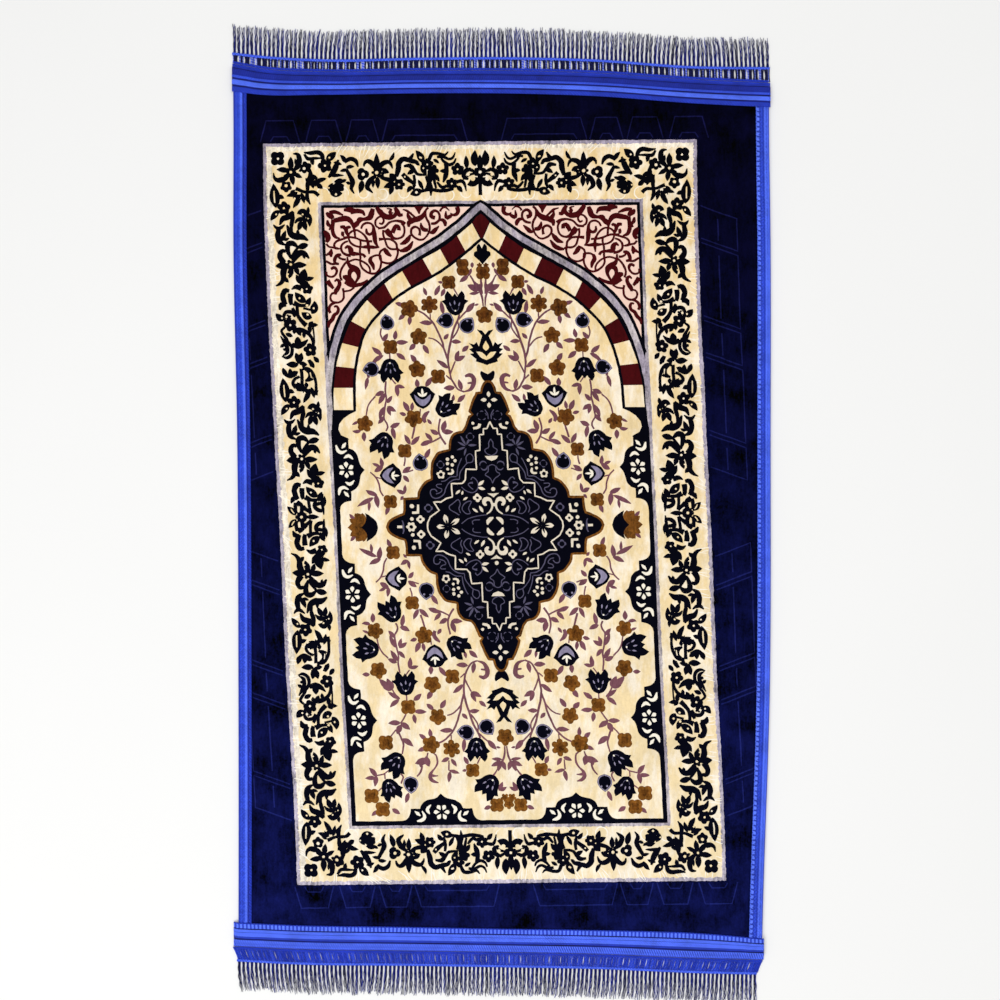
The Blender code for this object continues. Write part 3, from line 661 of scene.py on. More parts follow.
def lay_border_vine(chart):
    top = vine_figures(TOP_LEAVES, TOP_SPRIGS, TOP_FLORETS, TOP_EYES)
    side = vine_figures(SIDE_LEAVES, SIDE_SPRIGS, SIDE_FLORETS, SIDE_EYES, SIDE_SLITS)
    side = [(dye, outline + SIDE_SHIFT) for dye, outline in side]
    lower = [(dye, outline - (0, VINE_REPEAT) + REPEAT_SHIFT) for dye, outline in side]
    lower = [(dye, outline) for dye, outline in lower if outline[:, 1].mean() > MIDDLE_REACH]
    blossom = vine_figures(MIDDLE_LEAVES, MIDDLE_SPRIGS, MIDDLE_FLORETS, MIDDLE_EYES, MIDDLE_SLITS)
    for dye, outline in side + lower + blossom + top:
        chart.lay(dye, outline, BOTH)
        chart.lay(dye, outline * (1, -VINE_LOWER) + (0, VINE_MIDDLE * (1 + VINE_LOWER)), BOTH)


# The dark red scrolls in the corners above the arch
SCROLLS = (
    ((4, 4, 3.4, 2.6, 1), (23.5, 319.5), (22.5, 315), (24.5, 312), (28, 311.5), (30.5, 313.5)),
    ((2, 3.4, 3.6, 2.6, 1), (28, 312), (31.5, 309.5), (34, 308.6), (35, 311), (34.5, 315.5)),
    ((1, 1.6, 1.8, 2), (31.2, 316), (35, 319.3), (39, 318), (40.5, 315)),
    ((3.6, 3.8, 3, 2.6, 2.2, 2.2, 2.4, 2.6, 2), (45.5, 308.6), (49.2, 310), (49.3, 313.5), (45.8, 315.8),
    (42.2, 314), (41, 310), (42, 306), (45.5, 303.4), (50, 302.8)), ((2, 2.2, 2.2, 2.2, 2, 2, 1.8),
    (52, 319.3), (55, 315.5), (54.6, 309), (52.3, 304.6), (51.3, 300), (52, 295), (54.5, 290)),
    ((2, 3.4, 4, 2), (41.5, 306.5), (38, 306.4), (35.8, 303.5), (35.6, 300)), ((1, 3.4, 4.4, 1.5),
    (42, 300.5), (45, 297.5), (49, 294), (52, 294)), ((3, 4, 3.4, 1.2), (53, 296.5), (57, 297), (59.5, 300),
    (60, 304)), ((2.6, 2.2, 2.2, 2.4, 2.2, 2, 2, 2, 1.8, 1.6), (62, 291), (61.2, 295), (62.5, 298.5),
    (66, 300), (69.5, 297.5), (69.8, 293), (67, 289.3), (62, 287), (57.5, 287.5), (54.5, 290.5)),
    ((2, 4, 5, 5, 5, 2), (55, 316), (57.5, 311), (62, 308), (67.5, 306.5), (71.5, 304), (72, 299.5)),
    ((2, 2.2, 2.4, 1), (65, 309), (69, 312.5), (73.5, 316), (78, 317.5)), ((4, 3.4, 1.2), (70, 307),
    (72.5, 311), (73, 314.5)), ((9, 4, 1), (61.5, 320.5), (61.5, 316), (61, 312.5)), ((2.4, 4, 4, 2.4),
    (85, 319.5), (83, 315.5), (81, 311.8), (77.6, 312)), ((3, 3.4, 4, 5, 5, 4.6, 3), (85.5, 319.5),
    (84, 315), (86, 311.3), (91, 309.6), (97, 311.5), (101, 316), (104, 320)), ((4.5, 3, 1.6, 1),
    (88.5, 312.5), (90.5, 315), (89, 317.6), (93.5, 318.5)), ((1.6, 2, 2, 2, 2, 2, 2, 1.4), (101.4, 304.4),
    (99, 303), (96.6, 306), (98.5, 310.3), (102.5, 309.6), (105.2, 306), (104.8, 301.5), (101, 298.9)),
    ((3.5, 3, 2, 2, 2, 2.4, 2), (75.5, 302.5), (79, 305), (85, 306.2), (91, 304.6), (94.5, 301.5),
    (97, 299.5), (103, 298.8)), ((2, 2, 2, 2, 2, 3, 5.5, 5), (79, 303.5), (76.6, 299.5), (76.8, 294),
    (79.5, 289.7), (84, 288.2), (88, 289.3), (92, 293.5), (95, 297.5)), ((3.4, 3.6, 4, 4, 4), (82, 296.5),
    (82, 299.5), (85, 300.6), (87, 297.5), (88.5, 294)), ((1.6, 4.4, 4, 1.2), (70.5, 292), (73, 288),
    (76.5, 284.5), (81.5, 282.6)), ((1.4, 4, 4.4, 2), (68.4, 285.5), (72, 280), (76.5, 277), (82, 275.8)),
    (2, (82, 276), (84, 277.6), (90, 277.8), (94, 280.5), (96, 286), (97.8, 292), (97.6, 297)),
    ((2, 2, 2, 2, 3), (84.5, 279), (85.5, 284), (90, 287.4), (96, 288), (102.5, 287.6)), (2, (84.5, 279),
    (84, 273.5), (86.5, 267.5), (91, 264.3), (96, 264), (101, 266), (102.5, 271), (101.5, 275.5),
    (98, 278)), ((1.6, 4, 4.6, 2), (90.5, 270.8), (94, 273.5), (96.5, 277), (97.5, 279.5)), (2,
    (101.5, 272), (101, 265), (102.5, 258.5), (106.5, 254.3), (111, 253.6), (116, 255.5), (120.5, 259.5),
    (122, 264.5), (121.5, 270), (121.8, 276), (121.3, 281)), (2, (102, 271.5), (106, 271.8), (110, 270.4),
    (112, 267.5)), ((2.5, 4, 3.6, 1.4), (110.5, 270.5), (112, 266.5), (109.5, 262), (108.6, 257)), (1.8,
    (112.5, 254), (112.8, 259), (116, 263.5), (121, 266.5), (127, 268), (133, 266)),
    ((1, 3, 4, 4.4, 3, 2, 2, 2, 1.8), (102.5, 279.5), (105.5, 284), (106.5, 290), (107, 296),
    (107.5, 300.5), (110, 303.6), (114.5, 304.3), (118, 302), (119.5, 298.5)), ((2.4, 2.8, 2.8, 1.4),
    (108, 295), (111, 292.6), (114.2, 294.6), (114.4, 299)),
    ((1.4, 3, 3.5, 2, 2, 2, 2, 2, 2, 2, 2, 2.6, 3, 1.2), (102, 280), (107, 280), (112, 280.3), (120, 280.5),
    (126, 281.5), (130.5, 284.5), (132.2, 289), (131.8, 293.5), (128, 296.5), (123, 296.8), (118, 293.5),
    (114.5, 288.5), (113, 283), (112.8, 273)), (2, (109, 286), (115, 286.2), (121, 287.5), (126, 289.4),
    (131, 290.3), (138, 290)), (2, (121, 287.5), (120.6, 284), (121.3, 280)), ((2, 2, 2.6, 4.4, 5, 4.4, 4),
    (125.8, 290), (126.3, 296), (127.5, 301), (129.5, 306), (134, 309), (141, 308), (147, 306.8)),
    ((4, 3.4, 3.6, 3.4, 1.4), (147, 308), (148, 302), (148, 296), (146, 291), (141, 288.8)), ((2, 3, 3),
    (130, 299.5), (132, 300.6), (134.5, 298.6)), ((2.6, 3.6, 2.4), (135, 297.5), (137, 300.5),
    (140.5, 300.5)), ((3.6, 3.4, 1.5), (135, 299), (134.5, 295.5), (132.6, 291)), ((2, 3.4, 2), (138, 296),
    (138.4, 293.5), (138, 291)), ((3.5, 5, 5, 3, 3.4, 1.2), (107.5, 318.5), (109, 313.5), (111, 309.5),
    (116.5, 308), (121.5, 308.5), (124, 305)), ((1.5, 4, 4.4, 3), (115.5, 311.5), (118, 315.5),
    (124, 316.5), (130, 314.5)), ((4, 5, 2.4), (124, 316), (130, 317.5), (136.5, 317.5)), ((2, 3, 5, 3),
    (117, 307.8), (121, 306), (125, 302.5), (127, 300)), ((1.5, 3, 3.6, 3), (137, 312), (141, 314),
    (146, 315.6), (151, 315)), ((3, 5, 5, 2), (147, 309), (149.5, 311.5), (152, 313), (154, 315)),
    ((1.6, 3.6, 2.4, 1.6), (153, 307.5), (152.5, 303.5), (150.2, 300.5), (151.5, 297.4)), ((2, 5, 5, 2.4),
    (156.5, 297), (153.8, 293), (153, 289), (155, 285.5)), ((2, 2, 1.8, 2.4, 1.4), (155, 284), (152.5, 281),
    (149, 280.3), (144, 279), (141.5, 278.7)), (2, (133, 290), (138, 288.5), (144, 286.5), (147.3, 283),
    (146.5, 279.5)), ((1.8, 2, 2.2, 2.2, 2.4, 3), (133, 286.3), (137.5, 284.5), (140.3, 280.5),
    (139.4, 275.5), (135.5, 272.6), (131, 272)), ((2.4, 2.6, 2.6, 4, 5, 3.6, 1.6), (116.5, 269.8),
    (119, 272.8), (125, 273.6), (130, 274), (131, 278.5), (134, 281), (136.5, 278.8)),
    ((1.6, 2.4, 4, 5.4, 5.4, 3.6, 2.4, 2), (134.5, 270.5), (134.2, 266), (132.5, 262), (128, 259),
    (124.8, 256), (124, 251.5), (125.5, 248), (127.8, 244)), ((5, 4.5, 3.4, 1.4), (128, 259), (132, 256.5),
    (133, 252.5), (131.5, 249)), ((2, 5, 6, 2.5), (128, 244.5), (132, 247), (136.5, 250), (140, 250.5)),
    ((1.4, 3, 3.6, 4.4, 4), (115, 247.5), (120, 244), (126, 242.2), (132, 242.6), (138, 246)), (2,
    (134.5, 266.5), (138, 263), (141, 258), (142.5, 252.5), (141, 247)), (2, (136, 268), (140, 268.3),
    (143.5, 270.5), (141, 272.8)), ((1.6, 3, 3.4, 3, 2), (140.5, 273), (144.5, 272.5), (147, 268.5),
    (147, 264.5), (143, 263.5)), (2, (147, 263.5), (151, 263.6), (156, 266.5)), ((2.4, 3, 2.4, 2, 2, 2, 2),
    (151.5, 258.5), (148, 260.3), (145.6, 257.5), (147, 253), (151, 250.6), (155.5, 252), (156, 256)),
    ((1, 4.6, 1.6), (150, 279), (151, 274.5), (150.5, 270.5)), ((3, 3, 1.5), (149, 275.5), (153, 274),
    (156, 272)), ((1.4, 3, 3.4, 3.6, 4.4, 2), (148.5, 246), (145.5, 248), (143.4, 245), (144.5, 240.5),
    (147.5, 236), (147.5, 233)), ((4.5, 4, 2.4), (155.6, 247), (153, 243), (149.5, 239)), (1.8, (129, 240),
    (133, 237.2), (139, 236.3)), (2, (140.3, 239.5), (139.6, 234), (140.2, 229), (143.5, 225.8), (148, 225),
    (152, 226.8), (153, 231), (151.5, 234), (148, 235)), ((1.6, 2.2, 2.6, 2.8, 2.6), (145, 225),
    (149.5, 224.6), (153.5, 222), (155, 218), (153.5, 214.5)), ((1.6, 2.6, 3, 3, 3.6, 3.6, 3.2, 1.4),
    (149.8, 220.5), (147.5, 221.6), (145.6, 218.5), (146.8, 214.6), (150, 212.6), (152, 208.5),
    (155.5, 204.5), (156, 200)),
)


SCROLL_WEIGHT = 1.15


def lay_scrolls(chart):
    for widths, *line in SCROLLS:
        chart.lay("red", stroke(curved(line), np.multiply(widths, SCROLL_WEIGHT)), BOTH)


# The flowers and leaves of the inner field, laid once for each of the ways in which they are mirrored
UPRIGHT = ((1, 1), (1, -1))
LOWER = ((1, -1), (-1, -1))

BELL = (
    ((0, -11.6), (5.2, -9.8), (8.4, -5), (9.8, -0.8), (13.4, 2.8)), ((9.8, 4.6),), ((10, 8.6), (7.2, 13.2)),
    ((3.8, 9.4), (2.4, 7.4)), ((0, 10.8),),
)
TULIP = (((0, -11), (6, -9.4), (9.6, -5.4), (13, -2.6)), ((10, 3), (6, 9), (0, 12.4)))
TULIP_WINGS = (((8.4, -2.4), (0, 2.8), (-8.4, -2.4)), ((-6.4, 4.4), (0, 9.4), (6.4, 4.4), (8.4, -2.4)))
BUD = (((0, -8.8), (6.4, -6.2), (8.8, 0), (6, 6.4), (0, 11.4)),)
LILY = (
    ((0, -30.5), (3, -34.5)), ((7.5, -35.7),), ((3, -29),), ((4.2, -26), (6.5, -19)), ((8.3, -23),),
    ((11, -20.5),), ((15.5, -22.5),), ((12, -17.3),), ((15.5, -16),), ((11.5, -12),), ((15, -11.3),),
    ((9.5, -6),), ((10, -3.5),), ((3.4, -1.4), (0, 0)),
)
LILY_LENS = (((0, -24.5), (2.8, -18), (0, -14)),)
LILY_WING = (((0, -8.5), (4, -12.8), (9, -13.6)), ((5.4, -8), (0, -5)))
LILY_WIDER = 1.1
BELLS = (  # u, v, heading, size
    (FOUR, ((108, 83.5, -63, 1.05), (97, 157, 270, 1), (29, 222.5, 90, 1), (43, 119.5, 138, 1))),
    (LOWER, (
        (19.5, 259.5, 52, 1.06), (112.5, 236.5, 53, 1.06), (118, 262, 110, 0.94), (134, 121.5, -8, 1.08),
    )),
)
TULIPS = (
    (FOUR, ((66, 130, 270, 1), (101, 51.5, 0, 0.96))),
)
BUDS = (
    (FOUR, ((71.5, 63.5, 85, 0.94), (38.5, 206, -5, 0.94), (18, 200.5, 125, 0.94))),
    (LOWER, ((97.5, 257, 90, 0.92),)),
    (BOTH, ((97.5, 204, 80, 0.86), (115.5, 158, -8, 0.9))),
)
GOLDS = (  # u, v, radius, petals, turn
    (FOUR, (
        (103.5, 25.5, 8.2, 4, 45), (86.5, 76, 8.2, 4, 45), (76, 108.5, 9.4, 5, 60),
        (125, 103.5, 8.8, 5, 30), (49.5, 150, 8.6, 4, 45), (70, 157.5, 9.2, 5, 90), (66.5, 190, 9, 5, 90),
        (95.5, 180, 8.6, 4, 45), (54.5, 222, 9.4, 6, 90), (75, 218, 9.6, 5, 108), (34.5, 244, 8.2, 4, 45),
    )),
    (UPRIGHT, ((0, 211, 9.2, 5, 90),)),
    (LOWER, (
        (123.5, 143, 9.2, 5, 95), (120, 215.5, 8.8, 4, 45), (137.5, 268.5, 8.8, 4, 45),
        (127, 282, 8.8, 4, 45), (12, 279, 8.2, 4, 45), (3.5, 271.5, 4.6, 5, 90), (0, 278, 5.6, 5, 90),
    )),
    (ONCE, ((0, 253.5, 8.4, 4, 45),)),
    (BOTH, ((3.2, 260.6, 3, 5, 90), (20, 262.6, 6.6, 2, 0), (20, 255.4, 6.6, 2, 0))),
)
ARCH_BUD = (
    ((0, 261.5), (4, 266), (8.5, 270.5)), ((8, 274), (5, 275.4)), ((5.2, 280), (2.6, 282.6)), ((0, 277.6),),
)
TIP_BUD = (((0, 152), (6, 155.4)), ((7.4, 153), (5, 146.5), (0, 143)))
SIDE_FLOWER = (((0, -6), (5, -5), (12, 0), (14.5, 6.5)), ((10, 9), (5.5, 9)), ((3.5, 13), (0, 17)))
SIDE_CUP = (((0, -13.7), (6, -12), (11, -7), (14.3, -1.5)), ((9, -2.4), (4.5, -1), (0, 3)))

STEMS = (  # in all four quarters of the field
    ((2, 2.2, 2.4, 2.2, 2), (37.5, 153), (38.8, 164), (38, 173), (36, 181), (33.5, 190), (31, 198),
    (27, 206), (25, 212)), ((1.6, 1.8), (31.5, 165), (34, 160), (37, 153)), ((1.8, 2), (24, 134.5),
    (30, 137), (34, 143), (36.5, 148), (37.5, 154)), ((1.6, 1.4), (37, 147), (41.5, 151)), ((2.2, 2, 1.8),
    (39, 168), (42, 177), (43, 183), (45, 189), (48, 197), (51, 203), (55, 208), (61, 213.5), (67, 216.5)),
    ((1.8, 1.4), (42, 178), (47, 184), (52, 187.5), (57, 188.8)), (1.6, (27, 206), (26.4, 199), (29, 193.5),
    (33, 188)), ((1.6, 1.8), (26, 207), (21, 212), (17, 216)), (1.4, (54, 208), (54, 213)), ((2.2, 1.8),
    (45, 82), (50, 90), (51.5, 98), (49.5, 108)), ((1.6, 2), (50, 89), (57, 85.5), (66, 82.5)), (2,
    (78.5, 88), (76.5, 95), (75, 101)), (1.4, (69.5, 111), (69, 118)), (1.4, (86, 54.5), (79, 57)),
    ((1.6, 1.4), (88, 61), (86.5, 67), (86.5, 73)), ((1.6, 1.8, 1.4), (110, 31), (113, 36), (114, 43),
    (117, 50), (122, 55)), ((1.2, 1.4), (111, 48.5), (117, 50)), (1.8, (104, 96), (102, 100), (103, 104),
    (105.5, 108), (105, 114), (104, 121), (102.5, 128), (103, 136), (102, 146)), (1.6, (113, 131),
    (118, 126), (121.5, 120), (123.4, 111)), (1.4, (92, 143), (94.5, 146), (96.5, 149)), (1.4, (96.5, 168),
    (96.5, 174)), ((1.2, 1.6), (26, 231), (29.5, 237.5)), ((1.4, 2.2, 2), (1, 220), (1.6, 228), (3.5, 234),
    (6, 238)),
)
LOW_STEMS = (
    (1.6, (109, 153), (111, 158), (110, 163), (107, 168), (104, 171)), (1.6, (98, 187), (101, 192),
    (104, 196)), ((1.6, 1.4), (109, 202.5), (112.5, 206.5), (115.4, 210.4)), ((2.2, 2, 1.6), (106.5, 206),
    (104, 212), (102.5, 218), (104.5, 227)), ((1.4, 2, 1.6), (74, 226), (70, 229), (69.6, 236), (72, 241),
    (76, 246)), ((1.5, 3.5, 4.2, 3.4, 1), (74, 243), (77, 247), (77.5, 251), (74.5, 254.5), (69.5, 256)),
    ((3, 2.2, 1), (76.5, 248.4), (73, 249.2), (69.5, 249)), ((1.4, 1.6), (58, 234), (58.4, 244)), ((1.4, 2),
    (9.5, 243), (11.5, 246), (14.5, 249.5)), ((2, 2, 1.4), (85, 239), (87, 245), (91, 249.6)), (1.8,
    (107, 247), (104.5, 250), (107.5, 256.5)), ((1.2, 1.6), (119, 243), (124, 246.5), (131, 248)), (1.4,
    (123, 246.5), (123, 252)), (1.4, (126, 260), (132, 264.6)), ((1.4, 2), (78.6, 226), (80, 231)),
)
TOP_STEMS = (
    (2, (2.4, 247), (2.2, 240), (1.6, 232)), ((1.6, 2), (13, 251), (10.4, 246.4), (8.4, 242)), (1.6,
    (103.4, 199), (104.6, 193), (102.6, 187)), (1.4, (106, 173), (109, 168), (112, 164)), (1.4, (30.4, 240),
    (29, 236)),
)
CURL = (
    ((1.2, 3, 4.4, 4.8, 4.2, 2), (24, 134.5), (17.5, 137), (14.2, 143), (14.4, 148.6), (18, 151.4),
    (22.6, 149.8)), ((2.6, 1.6), (15, 143.6), (20.4, 143)), ((3, 4.6, 4, 1.5), (64.5, 104), (66, 108),
    (64, 112), (60, 115.5)),
)
LEAVES = (  # in all four quarters: u, v, heading, length, width, turn
    (105, 21, -62, 10, 4.4, -10), (119.5, 29.5, -22, 20, 4.8, -8), (118, 33, -98, 14, 5.4),
    (124.5, 26, -82, 10, 3.2, -5), (116, 32, 14, 13, 5, 20), (89, 33, 98, 9.5, 3.6),
    (90, 31, -50, 5.5, 3.4), (89, 33, 30, 9, 4.4), (89.5, 51.5, -135, 9, 4.4, 10), (90, 54, 145, 11, 5),
    (118, 55.5, 155, 12, 5.4, -30), (110, 60, 95, 10, 4.2, -20), (112, 61, 20, 8, 3.4),
    (67, 68, 122, 12, 5), (80, 82, 138, 13, 5), (80.5, 82, 62, 12, 4.6), (70.5, 81.5, 160, 13, 5, -5),
    (58, 86, 50, 11, 4.2, -5), (51.5, 92, 28, 10, 5, 5), (48.5, 95, -170, 12, 5.4, -20),
    (48, 95, 108, 12, 5.4), (58.5, 102, 55, 7, 3.6), (83, 112, 15, 7.5, 4), (80, 115, 62, 12, 5.2),
    (77.5, 116, 98, 9, 4), (98, 100, -102, 13, 4.8), (100, 100, 168, 11, 5, -20),
    (105.5, 111, -58, 10, 4.4, 15), (103.5, 121, -50, 15, 5, -25), (102, 121, -148, 10.5, 4.6),
    (102, 120, -110, 9.5, 4), (102, 124, 128, 9.6, 4.4), (103.5, 134, -58, 13, 5),
    (104, 135.5, -18, 10.5, 4.8, -10), (92, 142, -100, 12, 4.8, 8), (92, 141.5, -165, 9.5, 4),
    (62.5, 140, 125, 12, 5), (70.5, 139, 88, 9, 5), (26.5, 136, 75, 11.5, 4.8, 5),
    (33, 139, -8, 12, 5.4, 12), (39, 158, 42, 14, 4.8, -8), (32, 165.5, 160, 12, 5, -10),
    (32, 166, 118, 11, 4.4), (24, 174.5, 138, 9.5, 4.4), (34.5, 184.5, 170, 10.5, 4.6, 25),
    (42, 187, 138, 8, 4, -10), (18, 214, 132, 13, 5.6), (10, 220.6, 165, 5, 2.4), (63, 182, -122, 11, 5),
    (70, 183, -38, 9.4, 5, -10), (52, 203.5, 2, 13.4, 5, 3), (70.5, 164, 62, 10, 5.4, -10),
    (74.5, 211, -85, 9.5, 4.4), (79, 213, -40, 9.4, 4.6), (80, 221, 20, 9.4, 4.4), (41, 212, 82, 14, 4.6),
    (4, 233.5, -6, 11, 3.6), (5, 235, 25, 12, 4.6), (6, 236, 72, 10, 4.6), (5, 234, 110, 11, 4.8),
    (38.5, 238, -62, 9, 4.4), (40, 243.5, 12, 5.6, 3.2), (90, 174, -142, 11.5, 5),
    (90, 184.5, 178, 12.8, 4.8), (90.5, 187, 98, 10, 4.6), (103, 172, -28, 14.5, 4.4, -10),
    (104, 172.5, 28, 12.6, 4.8, 20), (126.5, 95.5, -90, 10, 5), (129, 97.5, -35, 9.6, 3.8, 60),
    (131, 106, -25, 7.5, 2.8), (140, 7.5, 48, 8.5, 3.8), (31.6, 124, 138, 11.6, 5),
    (36, 124.6, 98, 7.6, 3.4),
)
LOW_LEAVES = (
    (132, 147, 0, 8, 4.4), (110, 163, -66, 13, 6.4), (111, 163, -38, 17, 6.6, -10), (110.5, 163, -95, 9, 4),
    (110, 162.5, -12, 10, 4.4), (9.5, 265, -118, 10.5, 4.6, 5), (8.5, 265, -150, 8.5, 3.8),
    (55.5, 232, 122, 9.6, 4.2), (57, 231.5, 18, 9.6, 4.2, 10), (58.5, 244, 170, 11.4, 3.8, -10),
    (57.5, 244.6, 80, 11.6, 4.4), (77, 233, 8, 16, 7, 12), (81, 229.5, 105, 11, 6.4), (84, 231, 72, 10, 6),
    (104, 196, -5, 12.6, 5.2, 10), (104.5, 196, 155, 12, 5.6, -20), (104, 197.5, 65, 10.6, 6),
    (104, 211.5, 155, 14, 5.6, -20), (131.5, 250, -68, 12.4, 5, 30), (132, 250.5, 2, 11.4, 4.4),
    (131.5, 248, 78, 11.6, 5), (100, 265.5, 72, 11.4, 4.6, -5), (117.5, 281.5, 145, 9.6, 4.8),
    (132, 283, 40, 8.6, 4.4), (18, 280, 22, 8, 4.6),
)
TOP_LEAVES_FIELD = (
    (10.5, 264, -90, 6, 3.6), (11, 258, -62, 10, 3.4), (14.5, 250.8, -35, 11.4, 5), (4, 236, 60, 9, 5.6),
    (6, 238, 18, 11, 4.6), (5, 240, -30, 8, 5), (49, 231, 118, 12, 4.6), (57, 231, 70, 9, 3.8),
    (103, 186, 132, 9.6, 4.6, -10), (119.4, 150.5, -75, 13.4, 4), (118, 149, 60, 5, 3),
)


STEM_STEP = 2.2


def lay_mauve(chart, stems, leaves, ways):
    for widths, *line in stems:
        chart.lay("mauve", stroke(curved(line, STEM_STEP), widths), ways)
    for u, v, *grown in leaves:
        chart.lay("mauve", leaf((u, v), *grown), ways)


BELL_FLECKS = (((-3.4, -2.4), 112), ((0.2, -0.8), 88), ((3.8, -2.2), 66))
BELL_CUP = ((-3.6, -3.4), (-2.6, -5.8), (0, -7.2), (2.6, -5.8), (3.6, -3.4))
TULIP_MARKS = ((-8.6, 90, 9, 2.2), (0, -40, 6.4, 2.4), (0, 220, 6.4, 2.4))  # v, heading, length, width
BUD_LAYERS = (("pewter", 0.95), ("lavender", 0.88), ("ink", 0.78))  # of the drop's full size
BUD_SPOTS = (((2.4, 4.6), 1.2), ((-3.8, 4.6), 1.0))


def bell():
    cup = stroke(curved(BELL_CUP, 1.2), (0.5, 0.9, 0.5))
    parts = [("ink", outlined(*BELL, mirrored=True)), ("pewter", cup), ("white", disc((0, -6.8), 0.9, 1.0))]
    return parts + [("lavender", leaf(at, heading, 4.4, 1.5, step=0.9)) for at, heading in BELL_FLECKS]


def tulip():
    parts = [("ink", outlined(*TULIP, mirrored=True)), ("lavender", outlined(*TULIP_WINGS))]
    return parts + [("white", leaf((0, v), *grown)) for v, *grown in TULIP_MARKS]


SIDE_PETALS = ((86, 14.5), (60, 16.5), (31, 16.5), (-31, 16.5), (-60, 16.5), (-86, 14.5))


def bud():
    drop = outlined(*BUD, mirrored=True)
    parts = [(dye, drop * size) for dye, size in BUD_LAYERS]
    return parts + [("lavender", disc(at, radius, 1.2)) for at, radius in BUD_SPOTS]


def lay_figures(chart, parts, places):
    for ways, figures in places:
        for u, v, heading, size in figures:
            for dye, shape in parts:
                chart.lay(dye, placed(shape, (u, v), heading, size), ways)


GOLD_LAYERS = (("gold", 0.97, 0.34), ("umber", 0.5, 0.4))  # share of the radius, and notch
SIDE_PETAL_ROOT = (131.5, 0)
SIDE_FLOWER_PLACE = (131, 0)
LILY_TOP = 161


def lay_field(chart):
    lay_mauve(chart, STEMS + CURL, LEAVES, FOUR)
    lay_mauve(chart, LOW_STEMS, LOW_LEAVES, LOWER)
    lay_mauve(chart, TOP_STEMS, TOP_LEAVES_FIELD, BOTH)
    for ways, flowers in GOLDS:
        for u, v, radius, petals, turn in flowers:
            for dye, share, notch in GOLD_LAYERS:
                chart.lay(dye, bloom((u, v), radius * share, petals, notch, turn), ways)
    lay_figures(chart, bud(), BUDS)
    lay_figures(chart, bell(), BELLS)
    lay_figures(chart, tulip(), TULIPS)
    for heading, length in SIDE_PETALS:
        chart.lay("gold", leaf(SIDE_PETAL_ROOT, heading, length, 7.0, fullest=0.6), BOTH)
    for dye, shape in (("gold", SIDE_FLOWER), ("ink", SIDE_CUP)):
        chart.lay(dye, placed(outlined(*shape, mirrored=True), SIDE_FLOWER_PLACE, 0), BOTH)
    for dye, shape in (("ink", LILY), ("cream", LILY_LENS), ("cream", LILY_WING)):
        whole = outlined(*shape, mirrored=shape is not LILY_WING, step=1.2)
        ways = FOUR if shape is LILY_WING else UPRIGHT
        chart.lay(dye, whole * (LILY_WIDER, -1) + (0, LILY_TOP), ways)
    chart.lay("ink", outlined(*TIP_BUD), FOUR)
    chart.lay("ink", outlined(*ARCH_BUD, mirrored=True))


MEDALLION = (  # a quarter of its scalloped outline, from the right-hand point to the upper point
    ((109.6, 0), (107.5, 5), (104, 8.5), (99, 11.2), (92, 13.8)), ((90.9, 19), (90.7, 29.4)),
    ((76.4, 29.5),), ((75.6, 35), (72, 41.2), (67.6, 45.8), (61.8, 48.2)), ((61.9, 55), (60.4, 64.2),
    (57, 70.6), (52.4, 75.2), (42.4, 77.4)), ((42.2, 83), (40.6, 88.6), (36, 93.8), (28.4, 95.8)),
    ((25.4, 100), (23.4, 105), (21.2, 110.8)), ((18.4, 111.8),), ((20.9, 114.4),), ((19.6, 119),
    (16.4, 127), (12.7, 134.2)), ((8.1, 134.5),), ((7.2, 139), (4, 144.4), (0, 145.9)),
)
MEDALLION_RIM = 2.3
MEDALLION_BLOOM = 0.88
MEDALLION_ZIGZAG = points(
    (67.9, 0), (67.4, 4), (64.5, 9.5), (55.3, 16.2), (60.5, 24.8), (53, 24.6), (47, 28), (41.3, 29.6),
    (41.6, 42.7), (30.5, 43), (27.5, 46.5), (26, 57.3), (15.8, 56.6), (15.8, 75.2), (11.2, 76), (11, 91.5),
    (7, 91.8), (6.7, 97.4), (3, 97.6), (0, 104.5),
)
